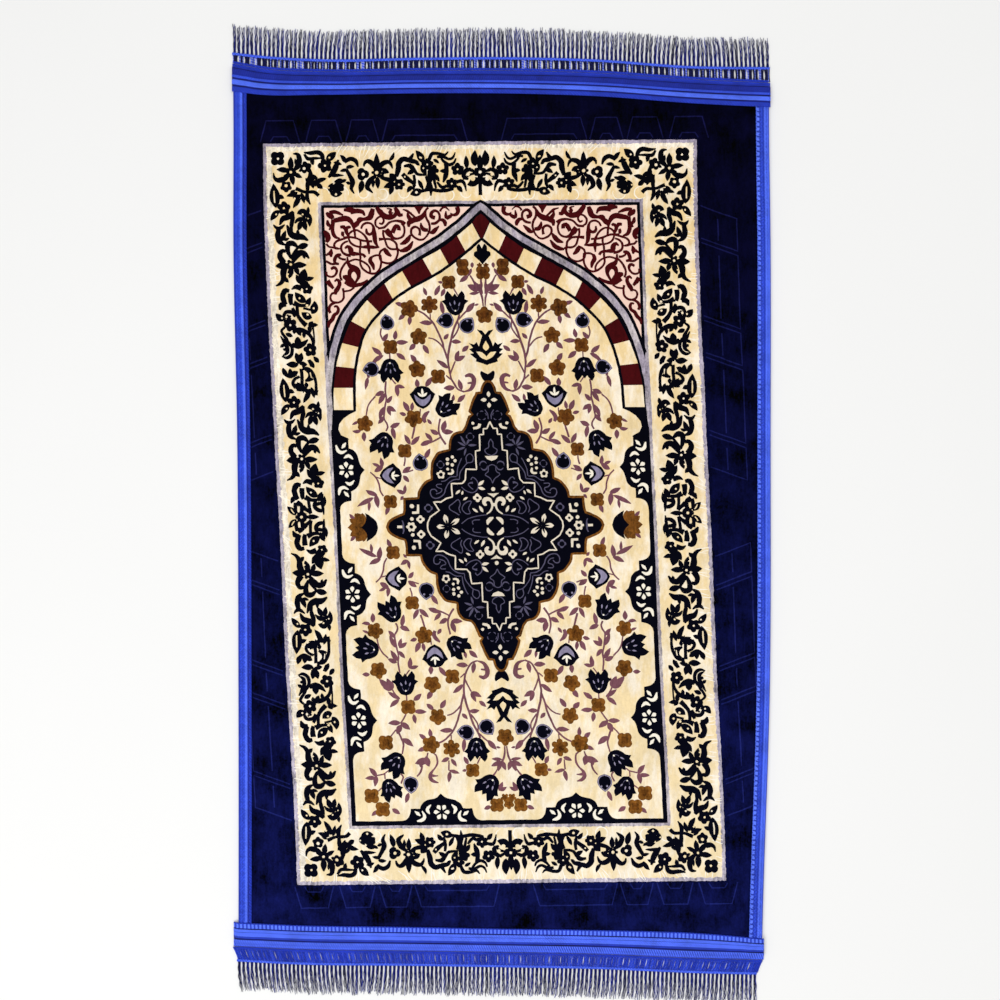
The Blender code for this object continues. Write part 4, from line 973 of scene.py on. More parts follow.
MEDALLION_LINES = (  # in one quarter: widths and points
    ("bone", (
        ((1.4, 4, 4, 1.4), (7.6, 1.6), (6.9, 4.6), (4.6, 7), (1.5, 8.6)),
        ((1, 1.6, 2, 2, 2.4, 4, 4.6, 3.6, 2), (8, 12), (4.5, 14.5), (2.2, 18.5), (2.2, 23.5), (4.5, 26.8),
        (8, 27), (10, 24.5), (9, 21.5), (7.3, 21.3)), ((3.4, 2.4), (0, 21.5), (2.6, 21.5)), ((3, 2.8, 2),
        (10, 102.4), (11.5, 99), (17, 97.8)), ((1.6, 2.2, 2.6, 1.6), (44.5, 52.8), (41, 52.6), (39.4, 54.6),
        (40.2, 57.6)), (2.4, (75.5, 14.5), (82.5, 14.2)), ((2.8, 2), (76.6, 14.6), (76, 22)), (2.4,
        (91.5, 0), (98, 0)),
    )),
    ("pewter", (
        ((2, 1.4, 1), (92, 0), (91.8, 4), (93, 6.6)), ((0.7, 0.9, 0.9), (8, 11.2), (18, 10.2), (27, 7.2),
        (33.5, 2.5)), ((0.8, 0.9), (15, 6.5), (20, 6.3), (23, 4.5), (22, 1.8)), (0.9, (35.3, 11.3),
        (39.5, 14), (44.2, 16.8), (44.6, 20.5), (40, 23.8), (35.3, 26.8), (33.8, 22.5), (35.4, 17.8),
        (34, 13.5)), (0.9, (24, 12.8), (28, 12.4), (31.8, 16), (31.6, 20), (28, 24), (22.6, 25), (24.6, 21),
        (25.8, 17.6), (24, 13)), ((0.8, 1, 1), (31.5, 39.5), (27, 35.5), (21, 33.6), (16.5, 36), (14.8, 41),
        (16, 46), (20, 49), (22, 46.5)), ((1, 0.9, 1, 2.2), (20, 37), (23, 39.5), (25, 42), (22.5, 43.5),
        (20, 43.4)), (0.9, (0, 43), (2.4, 47.5), (7.6, 51.6), (4, 54.5), (3.4, 60), (0, 61.6)), (0.9,
        (0, 87), (2.2, 83), (2.4, 79), (6.2, 76.4), (4.6, 72.6), (0, 70.4)), (1, (33, 47), (39, 46.5),
        (44, 43.5), (47.5, 38), (49.5, 32.5), (54, 29), (60, 28.6), (63, 32), (62.5, 36.6), (58.5, 37.2),
        (56.5, 34.6)), (0.9, (57.5, 32.6), (53, 34), (51.2, 37.5), (55.5, 39), (56.5, 42), (51, 42.2)),
        (0.9, (33, 47.5), (32.5, 53), (28.5, 59), (24.5, 63), (19.5, 64.5), (18.5, 69.5), (21.5, 72.5),
        (25.5, 69), (25, 63)), (0.9, (36, 49.6), (42, 49.5), (47.5, 46), (51.5, 45.2)), (0.9, (35.4, 50),
        (34.6, 57), (32.5, 63), (30, 68)), (0.9, (1.6, 107), (1.8, 112), (4.4, 116.5)),
    )),
)
MEDALLION_LEAVES = (  # u, v, heading, length, width
    ("bone", (
        (11.3, 13.8, 62, 7.6, 3), (16.5, 14, 35, 6.6, 2.4), (26, 29.2, -32, 5.6, 2.4),
        (32, 31.3, 112, 4.8, 2.2), (33, 36.6, -40, 6.6, 2.6), (15.3, 38.6, 194, 7.6, 3.2),
        (15, 40.6, 140, 8.2, 3.2), (2, 126.3, 0, 6.4, 3.8),
    )),
    ("pewter", (
        (24.5, 81, 118, 12, 2), (25, 81, 62, 11, 2.2), (25.5, 80, 32, 9, 2), (26, 79, -18, 9, 2),
        (25, 78, -72, 8, 2), (23, 81, 178, 9, 2.4),
    )),
)
MEDALLION_FLOWERS = (  # u, v, radius, petals, turn, radius of the black eye
    ("bone", ((16.3, 28.3, 5, 4, 90, 1.5), (84, 0, 5.8, 6, 0, 1.9), (74.5, 7.5, 4.8, 4, 0, 1.5))),
    ("pewter", ((66, 18.5, 5, 4, 90, 2.6),)),
    ("bone", ((51.6, 52, 5, 5, 90, 2),)),
    ("pewter", (
        (51.5, 62, 4.6, 4, 90, 3), (20.4, 89.5, 4.8, 4, 90, 3.2), (7.8, 110.5, 5.8, 5, 90, 4.2),
        (8.4, 60.4, 5.6, 2, 72, 3.6),
    )),
)
MEDALLION_DOTS = (
    (83, 8, 1.9), (82.3, 20.7, 2.1), (39.5, 61.5, 1.7), (44.4, 63, 1.7), (44.3, 67.3, 1.8),
    (39.3, 69.3, 1.7), (36.7, 65.6, 1.7), (44.4, 57.5, 1.5), (17, 103, 1.6), (0, 37, 2),
)
STAR_PETALS = ((0, 11.6), (76, 12.4), (148, 14), (212, 14), (284, 12.4))  # heading and length
STAR_MIDDLE = (47.2, 0.0)
CHEVRON = (((0, 28.6), (2.6, 30.8), (6, 33)), ((2.6, 32.8), (0, 32.6)))
CAP = (((0, 65.3), (4.6, 67.2), (6.6, 70.2)), ((0, 70.2),))


def four_sided(quarter):
    """A closed outline from its quarter, which runs from the right-hand point to the upper point."""
    upper = np.vstack([quarter, quarter[-2::-1] * (-1, 1)])
    return np.vstack([upper, upper[-2:0:-1] * (1, -1)])


MEDALLION_STEP = 1.3
ZIGZAG_WIDTH = 1.45
STAR_WIDTH = 4.8
STAR_VEIN = 0.66  # of a petal's length
LOZENGES = (121.0, 132.0)
LOZENGE_LENGTH, LOZENGE_WIDTH = 5.8, 3.8


def lay_medallion(chart):
    outline = four_sided(outlined(*MEDALLION))
    chart.lay("gold", outline)
    chart.lay("ink", outline + across_line(outline) * MEDALLION_RIM)
    chart.lay("bone", stroke(cornered(MEDALLION_ZIGZAG, 2.0), ZIGZAG_WIDTH), FOUR)
    for dye, strokes in MEDALLION_LINES:
        for widths, *line in strokes:
            chart.lay(dye, stroke(curved(line), widths), FOUR)
    for dye, leaves in MEDALLION_LEAVES:
        for u, v, *grown in leaves:
            chart.lay(dye, leaf((u, v), *grown), FOUR)
    for dye, flowers in MEDALLION_FLOWERS:
        for u, v, radius, petals, turn, eye in flowers:
            chart.lay(dye, bloom((u, v), radius * MEDALLION_BLOOM, petals, 0.4, turn, MEDALLION_STEP), FOUR)
            chart.lay("ink", disc((u, v), eye, MEDALLION_STEP), FOUR)
    for u, v, radius in MEDALLION_DOTS:
        chart.lay("bone", disc((u, v), radius, 1.2), FOUR)
    for heading, length in STAR_PETALS:
        chart.lay("bone", leaf(STAR_MIDDLE, heading, length, STAR_WIDTH, fullest=0.66), BOTH)
        chart.lay("ink", leaf(STAR_MIDDLE, heading, length * STAR_VEIN, 2), BOTH)
    for shape in (CHEVRON, CAP):
        chart.lay("bone", outlined(*shape), FOUR)
    for v in LOZENGES:
        root = (0, v - LOZENGE_LENGTH / 2)
        chart.lay("bone", leaf(root, 90, LOZENGE_LENGTH, LOZENGE_WIDTH, fullest=0.5), UPRIGHT)


STRAP_WIDTH = 1.3
STRAP_SHOULDER = 3.0
STRAP_DEPTH = 0.45 * MM
STRAP_STEP = 7.0
STRAP_MIDDLE = 4.6  # the embossing's own midline
END_CELLS = ((16, 103), (104, 139), (141, 179), (183, 224))  # across, on the panel's edge
# A strap of an end cell: its root in from the cell's ends and off the panel, and then its top, likewise
END_STRAPS = ((1, 1.5, 7, 23), (11, 2, 14, 7))
SIDE_STRAPS = (255.0, 236.0)  # the outer and inner lines along the sides
STRAP_ROOT = 219
INNER_SLANT = 0.4  # of the outer line's
INNER_SHORTER = 5
SIDE_SLANT = 13.5  # by which a cell's slanted ends fall from the panel out to the outer line, up there
UPPER_CELLS = ((306.8, 270.0), (270.0, 192.3), (192.3, 155.5), (155.5, 77.8), (77.8, 41.0))
LOWER_CELLS = ((-281.0, -244.6), (-244.6, -165.0), (-165.0, -131.6), (-131.6, -50.5), (-50.5, -17.0))
CELL_GAP = 4.5


def strapwork():
    """Centre lines of the straps pressed into the navy border."""
    lines = []
    for edge, away in ((PANEL_TOP, 1), (PANEL_BOTTOM, -1)):
        for start, stop in END_CELLS:
            for root_in, root_off, top_in, top_off in END_STRAPS:
                root, top = edge + away * root_off, edge + away * top_off
                ends = (start + root_in, root), (stop - root_in, root)
                line = points(ends[0], (start + top_in, top), (stop - top_in, top), ends[1])
                lines.extend(line * (across, 1) + (STRAP_MIDDLE, 0) for across in (1, -1))
    outer, inner = SIDE_STRAPS
    for cells, fall in ((UPPER_CELLS, -1), (LOWER_CELLS, 1)):
        for first, last in cells:
            start = first + fall * CELL_GAP / 2
            stop = last - fall * CELL_GAP / 2
            rise = -fall * SIDE_SLANT
            roots = (STRAP_ROOT, start + rise), (STRAP_ROOT, stop + rise)
            cell = points(roots[0], (outer, start), (outer, stop), roots[1])
            start += rise * INNER_SLANT + fall * INNER_SHORTER
            stop += rise * INNER_SLANT - fall * INNER_SHORTER
            for line in (cell, points((inner, start), (inner, stop))):
                lines.extend(line * (across, 1) for across in (1, -1))
    return [cornered(line, STRAP_STEP) for line in lines]


def lay_strapwork(chart):
    lines = strapwork()
    for line in lines:
        chart.lay("navy", stroke(line, 2 * STRAP_SHOULDER))
    # Painted sheen: a lighter navy along each pressed strap, where the pressed pile catches the light; the
    # dip itself is in the pile's height
    for line in lines:
        chart.lay("pressed_sheen", stroke(line, STRAP_WIDTH))


BRUSH_PITCH = 21.0
BRUSH_MARKS = 3  # at each place
FAN_RADIUS = 6.5


BRUSH_LENGTHS = (5.0, 16.0)
BRUSH_WIDTHS = (0.5, 1.0, 0.4)
FAN_WIDTHS = (0.6, 1.3, 0.6)
CORNERS = [(side, end) for end in (PANEL_BOTTOM, PANEL_TOP) for side in (-PANEL_SIDE, PANEL_SIDE)]
# The corners between which an edge was brushed, and the strokes' heading and spread in degrees
BRUSHED_EDGES = ((0, 1, 112, 70), (2, 3, -112, 50), (0, 2, -14, 56), (1, 3, 166, 40))


def lay_brush_highlights(chart):
    """Painted highlights: pale marks where the pile of the cream border was stroked in from its edges and
    round the frame, and catches the light.
    """
    rng = random.Random(31)
    for first, last, angle, spread in BRUSHED_EDGES:
        start, stop = points(CORNERS[first], CORNERS[last])
        length = np.hypot(*(stop - start))
        for at in np.arange(12.0, length - 8.0, BRUSH_PITCH):
            heading = angle + rng.uniform(-0.5, 0.5) * spread
            at += rng.uniform(-4.0, 4.0)
            for mark in range(BRUSH_MARKS):
                place = start + (stop - start) * (at + mark * rng.uniform(1.8, 4.4)) / length
                begin = place + toward(heading) * rng.uniform(1.5, 6.0)
                strayed = heading + rng.uniform(-8, 8)
                line = arc_line(begin, strayed, rng.uniform(*BRUSH_LENGTHS), rng.uniform(-20, 20), 3.0)
                chart.lay("brush_highlight", stroke(line, BRUSH_WIDTHS))
    above = FRAME_TOP + STRIP + FAN_RADIUS + 1.0
    below = FRAME_BOTTOM - STRIP - FAN_RADIUS - 1.0
    for u in np.arange(-FRAME_OUTER, FRAME_OUTER, BRUSH_PITCH):
        for v in (above, below):
            middle = (u + rng.uniform(-4.0, 4.0), v + rng.uniform(-1.5, 1.5))
            begin = rng.uniform(0, 360)
            outward = np.array([math.sin(math.radians(begin)), -math.cos(math.radians(begin))])
            start = middle + FAN_RADIUS * outward
            line = arc_line(start, begin, FAN_RADIUS * 4, 200 + rng.uniform(0, 80), 2.6)
            chart.lay("brush_highlight", stroke(line, FAN_WIDTHS))


def design():
    chart = Chart()
    lay_strapwork(chart)
    lay_panel(chart)
    lay_brush_highlights(chart)
    lay_border_vine(chart)
    lay_inner_frame(chart)
    lay_scrolls(chart)
    lay_arch(chart)
    lay_field(chart)
    lay_cartouches(chart)
    lay_medallion(chart)
    return chart.figures


# ---- materials


def dyed(red, green, blue):
    """A colour as it is seen, each part from 0 to 255, turned into amounts of light."""
    parts = []
    for part in (red, green, blue):
        share = part / 255
        parts.append(share / 12.92 if share <= 0.04045 else ((share + 0.055) / 1.055) ** 2.4)
    return (*parts, 1.0)


class Nodes:
    """Short calls that add nodes to a tree: a value given for a socket is set, and a socket is linked."""

    def __init__(self, tree):
        self.tree = tree

    def join(self, output, entry):
        self.tree.links.new(output, entry)

    def add(self, kind, sockets=None, **settings):
        node = self.tree.nodes.new(kind)
        for key, value in settings.items():
            setattr(node, key, value)
        for name, value in (sockets or {}).items():
            if isinstance(value, bpy.types.NodeSocket):
                self.join(value, node.inputs[name])
            else:
                node.inputs[name].default_value = value
        return node

    def place(self):
        return self.add("ShaderNodeTexCoord").outputs["Object"]

    def maths(self, operation, first, second):
        return self.add("ShaderNodeMath", {0: first, 1: second}, operation=operation).outputs[0]

    def times(self, first, second):
        return self.maths("MULTIPLY", first, second)

    def plus(self, first, second):
        return self.maths("ADD", first, second)

    def past(self, value, middle):
        return self.maths("SUBTRACT", value, middle)

    def noise(self, vector, scale, detail=2.0, roughness=0.5):
        sockets = {"Vector": vector, "Scale": scale, "Detail": detail, "Roughness": roughness}
        return self.add("ShaderNodeTexNoise", sockets).outputs["Fac"]

    def stretched(self, vector, stretch):
        return self.add("ShaderNodeMapping", {"Vector": vector, "Scale": stretch}).outputs["Vector"]

    def ranged(self, value, low, high):
        """Where a value lies between two others, from 0 to 1."""
        sockets = {"Value": value, "From Min": low, "From Max": high, "To Min": 0.0, "To Max": 1.0}
        return self.add("ShaderNodeMapRange", sockets).outputs["Result"]

    def mixed(self, share, first, second):
        return self.add("ShaderNodeMix", {0: share, 6: first, 7: second}, data_type="RGBA").outputs[2]

    def brightened(self, colour, lift):
        return self.add("ShaderNodeVectorMath", {0: colour, "Scale": lift}, operation="SCALE").outputs[0]

    def surface(self, shader, colour, height, strength, distance):
        """Gives a shader its colour, and its relief as a bump."""
        bump = self.add("ShaderNodeBump", {"Height": height, "Strength": strength, "Distance": distance})
        self.join(colour, shader.inputs["Base Color"])
        self.join(bump.outputs["Normal"], shader.inputs["Normal"])


def new_group(name, inputs):
    """An empty node group with named inputs, each (name, kind, value), that puts out Colour and Height."""
    group = bpy.data.node_groups.new(name, "ShaderNodeTree")
    for socket_name, kind, value in inputs:
        socket = group.interface.new_socket(socket_name, in_out="INPUT", socket_type=kind)
        socket.default_value = value
    for socket_name, kind in (("Colour", COLOUR), ("Height", NUMBER)):
        group.interface.new_socket(socket_name, in_out="OUTPUT", socket_type=kind)
    nodes = Nodes(group)
    entry = nodes.add("NodeGroupInput").outputs
    leave = nodes.add("NodeGroupOutput").inputs
    return group, nodes, entry, leave


COLOUR = "NodeSocketColor"
NUMBER = "NodeSocketFloat"


# The colour towards which painted highlights pale the swept streaks of crushed pile
PAINTED_HIGHLIGHT_COLOUR = (0.99, 0.90, 0.76, 1.0)
WHITE = (1, 1, 1, 1)
PATCH_SCALE, STREAK_SCALE, TIP_SCALE, HIGHLIGHT_SCALE = 22.0, 260.0, 420.0, 55.0
STREAK_STRETCH, HIGHLIGHT_STRETCH = (1.0, 0.28, 1.0), (1.0, 0.4, 1.0)
PAINTED_SHEEN_LOW_END, PAINTED_SHEEN_HIGH_END = -0.5, 0.45  # metres along the rug, over which painted sheen turns each dye towards its lower colour
PAINTED_SHEEN_CLOUDS = 0.7  # how unevenly they do
HIGHLIGHT_FROM, HIGHLIGHT_FULL = 0.42, 0.62


def nap_and_sheen_group():
    """Plush that was stroked this way and that: soft patches and short streaks, partly its nap and partly
    painted nap sheen, and the speckle of fibre tips.
    """
    inputs = (
        ("Colour", COLOUR, WHITE),
        ("Lower colour with painted sheen", COLOUR, WHITE),
        ("Patches", NUMBER, 0.2),
        ("Streaks", NUMBER, 0.2),
        ("Tips", NUMBER, 0.2),
        ("Paleness", NUMBER, 0.0),
    )
    group, nodes, entry, leave = new_group("nap_and_sheen", inputs)
    place = nodes.place()
    patches = nodes.noise(place, PATCH_SCALE, 4.0, 0.6)
    streaks = nodes.noise(nodes.stretched(place, STREAK_STRETCH), STREAK_SCALE, 2.0, 0.6)
    tips = nodes.noise(place, TIP_SCALE, 3.0, 0.7)
    tone = nodes.times(nodes.past(patches, 0.5), entry["Patches"])
    streaked = nodes.times(nodes.past(streaks, 0.5), entry["Streaks"])
    tipped = nodes.times(nodes.past(tips, 0.5), entry["Tips"])
    lift = nodes.plus(nodes.times(nodes.plus(nodes.plus(tone, streaked), tipped), 2.0), 1.0)
    # Painted sheen: along the rug, in clouds, each dye turns towards its lower colour, lit more there
    up = nodes.add("ShaderNodeSeparateXYZ", {"Vector": place}).outputs["Y"]
    painted_sheen_along = nodes.plus(up, nodes.times(nodes.past(patches, 0.5), PAINTED_SHEEN_CLOUDS))
    colour = nodes.mixed(nodes.ranged(painted_sheen_along, PAINTED_SHEEN_LOW_END, PAINTED_SHEEN_HIGH_END), entry["Lower colour with painted sheen"], entry["Colour"])
    # Painted highlights: pale swept streaks where crushed pile catches the light
    highlight_streaks = nodes.noise(nodes.stretched(place, HIGHLIGHT_STRETCH), HIGHLIGHT_SCALE, 4.0, 0.7)
    highlight_share = nodes.times(nodes.ranged(highlight_streaks, HIGHLIGHT_FROM, HIGHLIGHT_FULL), entry["Paleness"])
    highlighted = nodes.mixed(highlight_share, colour, PAINTED_HIGHLIGHT_COLOUR)
    nodes.join(nodes.brightened(highlighted, lift), leave["Colour"])
    nodes.join(nodes.plus(nodes.times(streaks, 0.7), nodes.times(tips, 0.3)), leave["Height"])
    return group


def new_material(name):
    material = bpy.data.materials.new(name)
    material.use_nodes = True
    return material, Nodes(material.node_tree), material.node_tree.nodes["Principled BSDF"]


def set_values(sockets, values):
    for name, value in values.items():
        sockets[name].default_value = value


def group_material(name, group, values, relief, finish):
    """A material of one node group: its own values, relief as strength and depth, and the shader's finish."""
    material, nodes, shader = new_material(name)
    outputs = nodes.add("ShaderNodeGroup", values, node_tree=group).outputs
    nodes.surface(shader, outputs["Colour"], outputs["Height"], *relief)
    set_values(shader.inputs, finish)
    return material


Dye = namedtuple("Dye", "name colour lower patches streaks tips shine paleness", defaults=(0.0,))
DYES = (  # lower is the colour at the rug's lower end, where painted sheen lightens most dyes
    Dye("navy", (3, 3, 25), (9, 14, 62), 2.4, 0.8, 0.9, 0.03),
    Dye("cream", (239, 209, 152), (241, 220, 176), 0.2, 0.14, 0.14, 0.2, 0.8),
    Dye("bone", (226, 212, 188), (228, 217, 198), 0.2, 0.14, 0.14, 0.2),
    Dye("mist", (156, 146, 162), (184, 176, 190), 0.9, 1.0, 0.7, 0.2),
    Dye("ink", (4, 4, 10), (5, 6, 20), 0.4, 0.3, 0.4, 0.03),
    Dye("lavender", (124, 118, 146), (150, 142, 166), 0.3, 0.5, 0.3, 0.2),
    Dye("silver", (149, 139, 154), (164, 155, 168), 0.8, 1.0, 0.8, 0.2, 0.3),
    Dye("chalk", (230, 217, 194), (234, 224, 208), 0.4, 0.7, 0.5, 0.2, 0.5),
    Dye("blush", (246, 212, 194), (246, 212, 194), 0.12, 0.1, 0.1, 0.2),
    Dye("red", (66, 8, 12), (66, 8, 12), 0.4, 0.4, 0.4, 0.05),
    Dye("gold", (92, 52, 16), (126, 80, 28), 0.5, 1.0, 1.2, 0.08),
    Dye("umber", (74, 36, 8), (104, 62, 18), 0.5, 1.0, 1.2, 0.08),
    Dye("mauve", (104, 62, 74), (122, 78, 88), 0.2, 0.5, 0.3, 0.15),
    Dye("white", (246, 236, 214), (250, 244, 228), 0.05, 0.08, 0.05, 0.2),
    Dye("pewter", (80, 76, 98), (88, 84, 108), 0.15, 0.2, 0.2, 0.1),
    # Painted sheen on the pressed straps
    Dye("pressed_sheen", (17, 18, 62), (24, 32, 98), 1.2, 0.6, 0.6, 0.05),
    # Painted highlights on stroked pile
    Dye("brush_highlight", (254, 244, 224), (254, 249, 238), 0.05, 0.06, 0.05, 0.2),
)
DYE_NUMBER = {dye.name: number for number, dye in enumerate(DYES)}


PILE_RELIEF = (0.5, 0.0006)  # strength, and depth in metres
PILE_SHEEN = 0.4  # of the shine


def pile_material(dye, pile_nap_and_sheen):
    values = {
        "Colour": dyed(*dye.colour),
        "Lower colour with painted sheen": dyed(*dye.lower),
        "Patches": dye.patches,
        "Streaks": dye.streaks,
        "Tips": dye.tips,
        "Paleness": dye.paleness,
    }
    finish = {
        "Roughness": 0.9,
        "Specular IOR Level": dye.shine,
        "Sheen Weight": dye.shine * PILE_SHEEN,
        "Sheen Roughness": 0.4,
    }
    return group_material(f"pile_{dye.name}", pile_nap_and_sheen, values, PILE_RELIEF, finish)


WANDER_SCALE, WANDER = 90.0, 0.35  # of the strokes, in strokes
FIBRE_SCALE, MOTTLE_SCALE = 520.0, 40.0
STROKE_BLUR = 0.14


def twisted_yarn_group():
    """Yarn drawn into strokes, with painted shade between them, evenly spaced over the rug, under a fine
    fibrous unevenness.
    """
    inputs = (
        ("Stroke colour", COLOUR, WHITE),
        ("Shade between strokes", COLOUR, WHITE),
        ("Strokes across", NUMBER, 0.0),
        ("Strokes along", NUMBER, 0.0),
        ("Stroke share", NUMBER, 0.5),
        ("Unevenness", NUMBER, 0.3),
    )
    group, nodes, entry, leave = new_group("twisted_yarn", inputs)
    place = nodes.place()
    axes = nodes.add("ShaderNodeSeparateXYZ", {"Vector": place}).outputs
    wander = nodes.times(nodes.noise(place, WANDER_SCALE), WANDER)
    across = nodes.times(axes["X"], entry["Strokes across"])
    along = nodes.times(axes["Y"], entry["Strokes along"])
    turns = nodes.plus(nodes.plus(across, along), wander)
    wave = nodes.maths("ABSOLUTE", nodes.past(nodes.maths("FRACT", turns, 0.0), 0.5), 0.0)
    inside_stroke = nodes.past(entry["Stroke share"], nodes.times(wave, 2.0))
    stroke_share = nodes.ranged(inside_stroke, -STROKE_BLUR, STROKE_BLUR)
    colour = nodes.mixed(stroke_share, entry["Shade between strokes"], entry["Stroke colour"])
    fibres = nodes.noise(place, FIBRE_SCALE, 4.0, 0.7)
    # A broad mottle of tone over the fine fibres
    broad_mottle = nodes.noise(place, MOTTLE_SCALE, 3.0, 0.6)
    mottled = nodes.plus(nodes.times(fibres, 0.7), nodes.times(broad_mottle, 0.5))
    tone = nodes.times(nodes.past(mottled, 0.6), entry["Unevenness"])
    lift = nodes.plus(nodes.times(tone, 5.0), 1.0)
    nodes.join(nodes.brightened(colour, lift), leave["Colour"])
    nodes.join(nodes.plus(nodes.times(stroke_share, 0.6), nodes.times(fibres, 0.4)), leave["Height"])
    return group


# Shades of one blue yarn. Across the trims the lighter ones are painted highlights on rib crests and the
# darker ones painted shade in grooves; in the fringe they are the yarns' own colours.
DEEP_BLUE = (10, 22, 118)
DULL_BLUE = (28, 46, 158)
MIDDLE_BLUE = (36, 62, 196)
CLEAR_BLUE = (56, 86, 226)
BRIGHT_BLUE = (92, 124, 255)
NIGHT_BLUE = (12, 18, 78)

# A yarn's strokes, and the painted shade between them
Yarn = namedtuple("Yarn", "name strokes between across along share uneven")
YARNS = (  # across and along are strokes in a metre over the rug's width and length
    Yarn("deep", DEEP_BLUE, NIGHT_BLUE, 0, 330, 0.6, 0.4),
    Yarn("dull", DULL_BLUE, DEEP_BLUE, 420, 120, 0.7, 0.35),
    Yarn("middle", MIDDLE_BLUE, DULL_BLUE, 260, 260, 0.6, 0.35),
    Yarn("clear", CLEAR_BLUE, MIDDLE_BLUE, 260, -260, 0.6, 0.3),
    Yarn("bright", BRIGHT_BLUE, CLEAR_BLUE, 300, 300, 0.6, 0.3),
    Yarn("pearls", BRIGHT_BLUE, MIDDLE_BLUE, 196, 0, 0.55, 0.3),
    Yarn("dashes", BRIGHT_BLUE, DULL_BLUE, 20, 152, 0.7, 0.3),
    Yarn("slanted", BRIGHT_BLUE, MIDDLE_BLUE, 322, 130, 0.5, 0.3),
    Yarn("night", NIGHT_BLUE, (10, 10, 40), 160, 300, 0.6, 0.5),
    Yarn("light", (150, 160, 230), CLEAR_BLUE, 100, 300, 0.5, 0.4),
)
YARN_NUMBER = {yarn.name: number for number, yarn in enumerate(YARNS)}


YARN_RELIEF = (0.6, 0.0005)
YARN_FINISH = {"Roughness": 0.65, "Specular IOR Level": 0.15, "Sheen Weight": 0.03}


def yarn_material(yarn, twisted):
    values = {
        "Stroke colour": dyed(*yarn.strokes),
        "Shade between strokes": dyed(*yarn.between),
        "Strokes across": yarn.across,
        "Strokes along": yarn.along,
        "Stroke share": yarn.share,
        "Unevenness": yarn.uneven,
    }
    return group_material(f"yarn_{yarn.name}", twisted, values, YARN_RELIEF, YARN_FINISH)


WALE_SCALE = 320.0
GROUND_SCALE = 60.0


def ground_material():
    """The knitted ground on the underside, with its fine wales."""
    material, nodes, shader = new_material("ground_knit")
    place = nodes.place()
    wales = nodes.add("ShaderNodeTexWave", {"Vector": place, "Scale": WALE_SCALE, "Distortion": 0.4})
    soft = nodes.noise(place, GROUND_SCALE)
    height = nodes.plus(wales.outputs["Fac"], nodes.times(soft, 0.4))
    colour = nodes.mixed(nodes.ranged(soft, 0.3, 0.7), dyed(20, 24, 74), dyed(30, 36, 96))
    nodes.surface(shader, colour, height, 0.4, 0.0004)
    shader.inputs["Roughness"].default_value = 0.9
    return material


# ---- the pile cloth

GRID = 7.0 * MM  # between the points that carry the pile's unevenness
RIM_STEP = 6.0 * MM
WOBBLE = 0.28 * MM  # of the printed outlines
DRIFT_HILLS = 7 * MM
RAGGED = 0.14 * MM


def ring(inset, low_rule, high_rule, step=RIM_STEP):
    """A closed loop of points at one distance in from the braids' outer edges, between two end rules."""

    def left(y):
        return left_edge(y) + inset

    def right(y):
        return right_edge(y) - inset

    sides = ((left, low_rule), (right, low_rule), (right, high_rule), (left, high_rule))
    corners = [settle(*side) for side in sides]
    (x0, y0), (x1, y1), (x2, y2), (x3, y3) = [(float(x), float(y)) for x, y in corners]
    across = max(2, int((x1 - x0) / step))
    along = max(2, int((y2 - y1) / step))
    low = [(x, float(low_rule(x))) for x in np.linspace(x0, x1, across, endpoint=False)]
    up = [(float(right(y)), y) for y in np.linspace(y1, y2, along, endpoint=False)]
    high = [(x, float(high_rule(x))) for x in np.linspace(x2, x3, across, endpoint=False)]
    down = [(float(left(y)), y) for y in np.linspace(y3, y0, along, endpoint=False)]
    return np.array(low + up + high + down)


def cut_rules():
    return (
        lambda x: TAPE_OUTER["bottom"](x) + TAPE_PAST_CLOTH,
        lambda x: TAPE_OUTER["top"](x) - TAPE_PAST_CLOTH,
    )


def sewn_rules(past=0.0):
    return (
        lambda x: TAPE_INNER["bottom"](x) + CLEAR + past,
        lambda x: TAPE_INNER["top"](x) - CLEAR - past,
    )


def open_distance(x, y):
    """How far a place lies inside the line where the braids and tapes are sewn down."""
    side = np.minimum(x - left_edge(y), right_edge(y) - x) - BRAID_WIDTH - CLEAR
    end = np.minimum(y - TAPE_INNER["bottom"](x), TAPE_INNER["top"](x) - y) - CLEAR
    return np.minimum(side, end)


def inside(outline, places):
    """Which places a closed outline winds round."""
    turns = np.zeros(len(places), int)
    x, y = places[:, 0], places[:, 1]
    for (ax, ay), (bx, by) in zip(outline, np.roll(outline, -1, axis=0)):
        side = (bx - ax) * (y - ay) - (x - ax) * (by - ay)
        turns += (ay <= y) & (by > y) & (side > 0)
        turns -= (ay > y) & (by <= y) & (side < 0)
    return turns != 0


def cut_along(loops, loose):
    """Triangles over all the points, with an edge along every closed loop. Coordinates are metres."""
    places = []
    edges = []
    for loop in loops:
        first = len(places)
        places.extend(loop)
        edges.extend((first + k, first + (k + 1) % len(loop)) for k in range(len(loop)))
    places.extend(loose)
    flat = [Vector((x / MM, y / MM)) for x, y in places]
    result = delaunay_2d_cdt(flat, edges, [], 0, 1e-3, True)
    corners = np.array([(p.x, p.y) for p in result[0]]) * MM
    triangles = np.array(result[2])
    return corners, triangles


def without_spares(corners, triangles):
    """Only the points that a triangle uses, in the same order."""
    used, numbers = np.unique(triangles, return_inverse=True)
    return corners[used], numbers.reshape(triangles.shape)


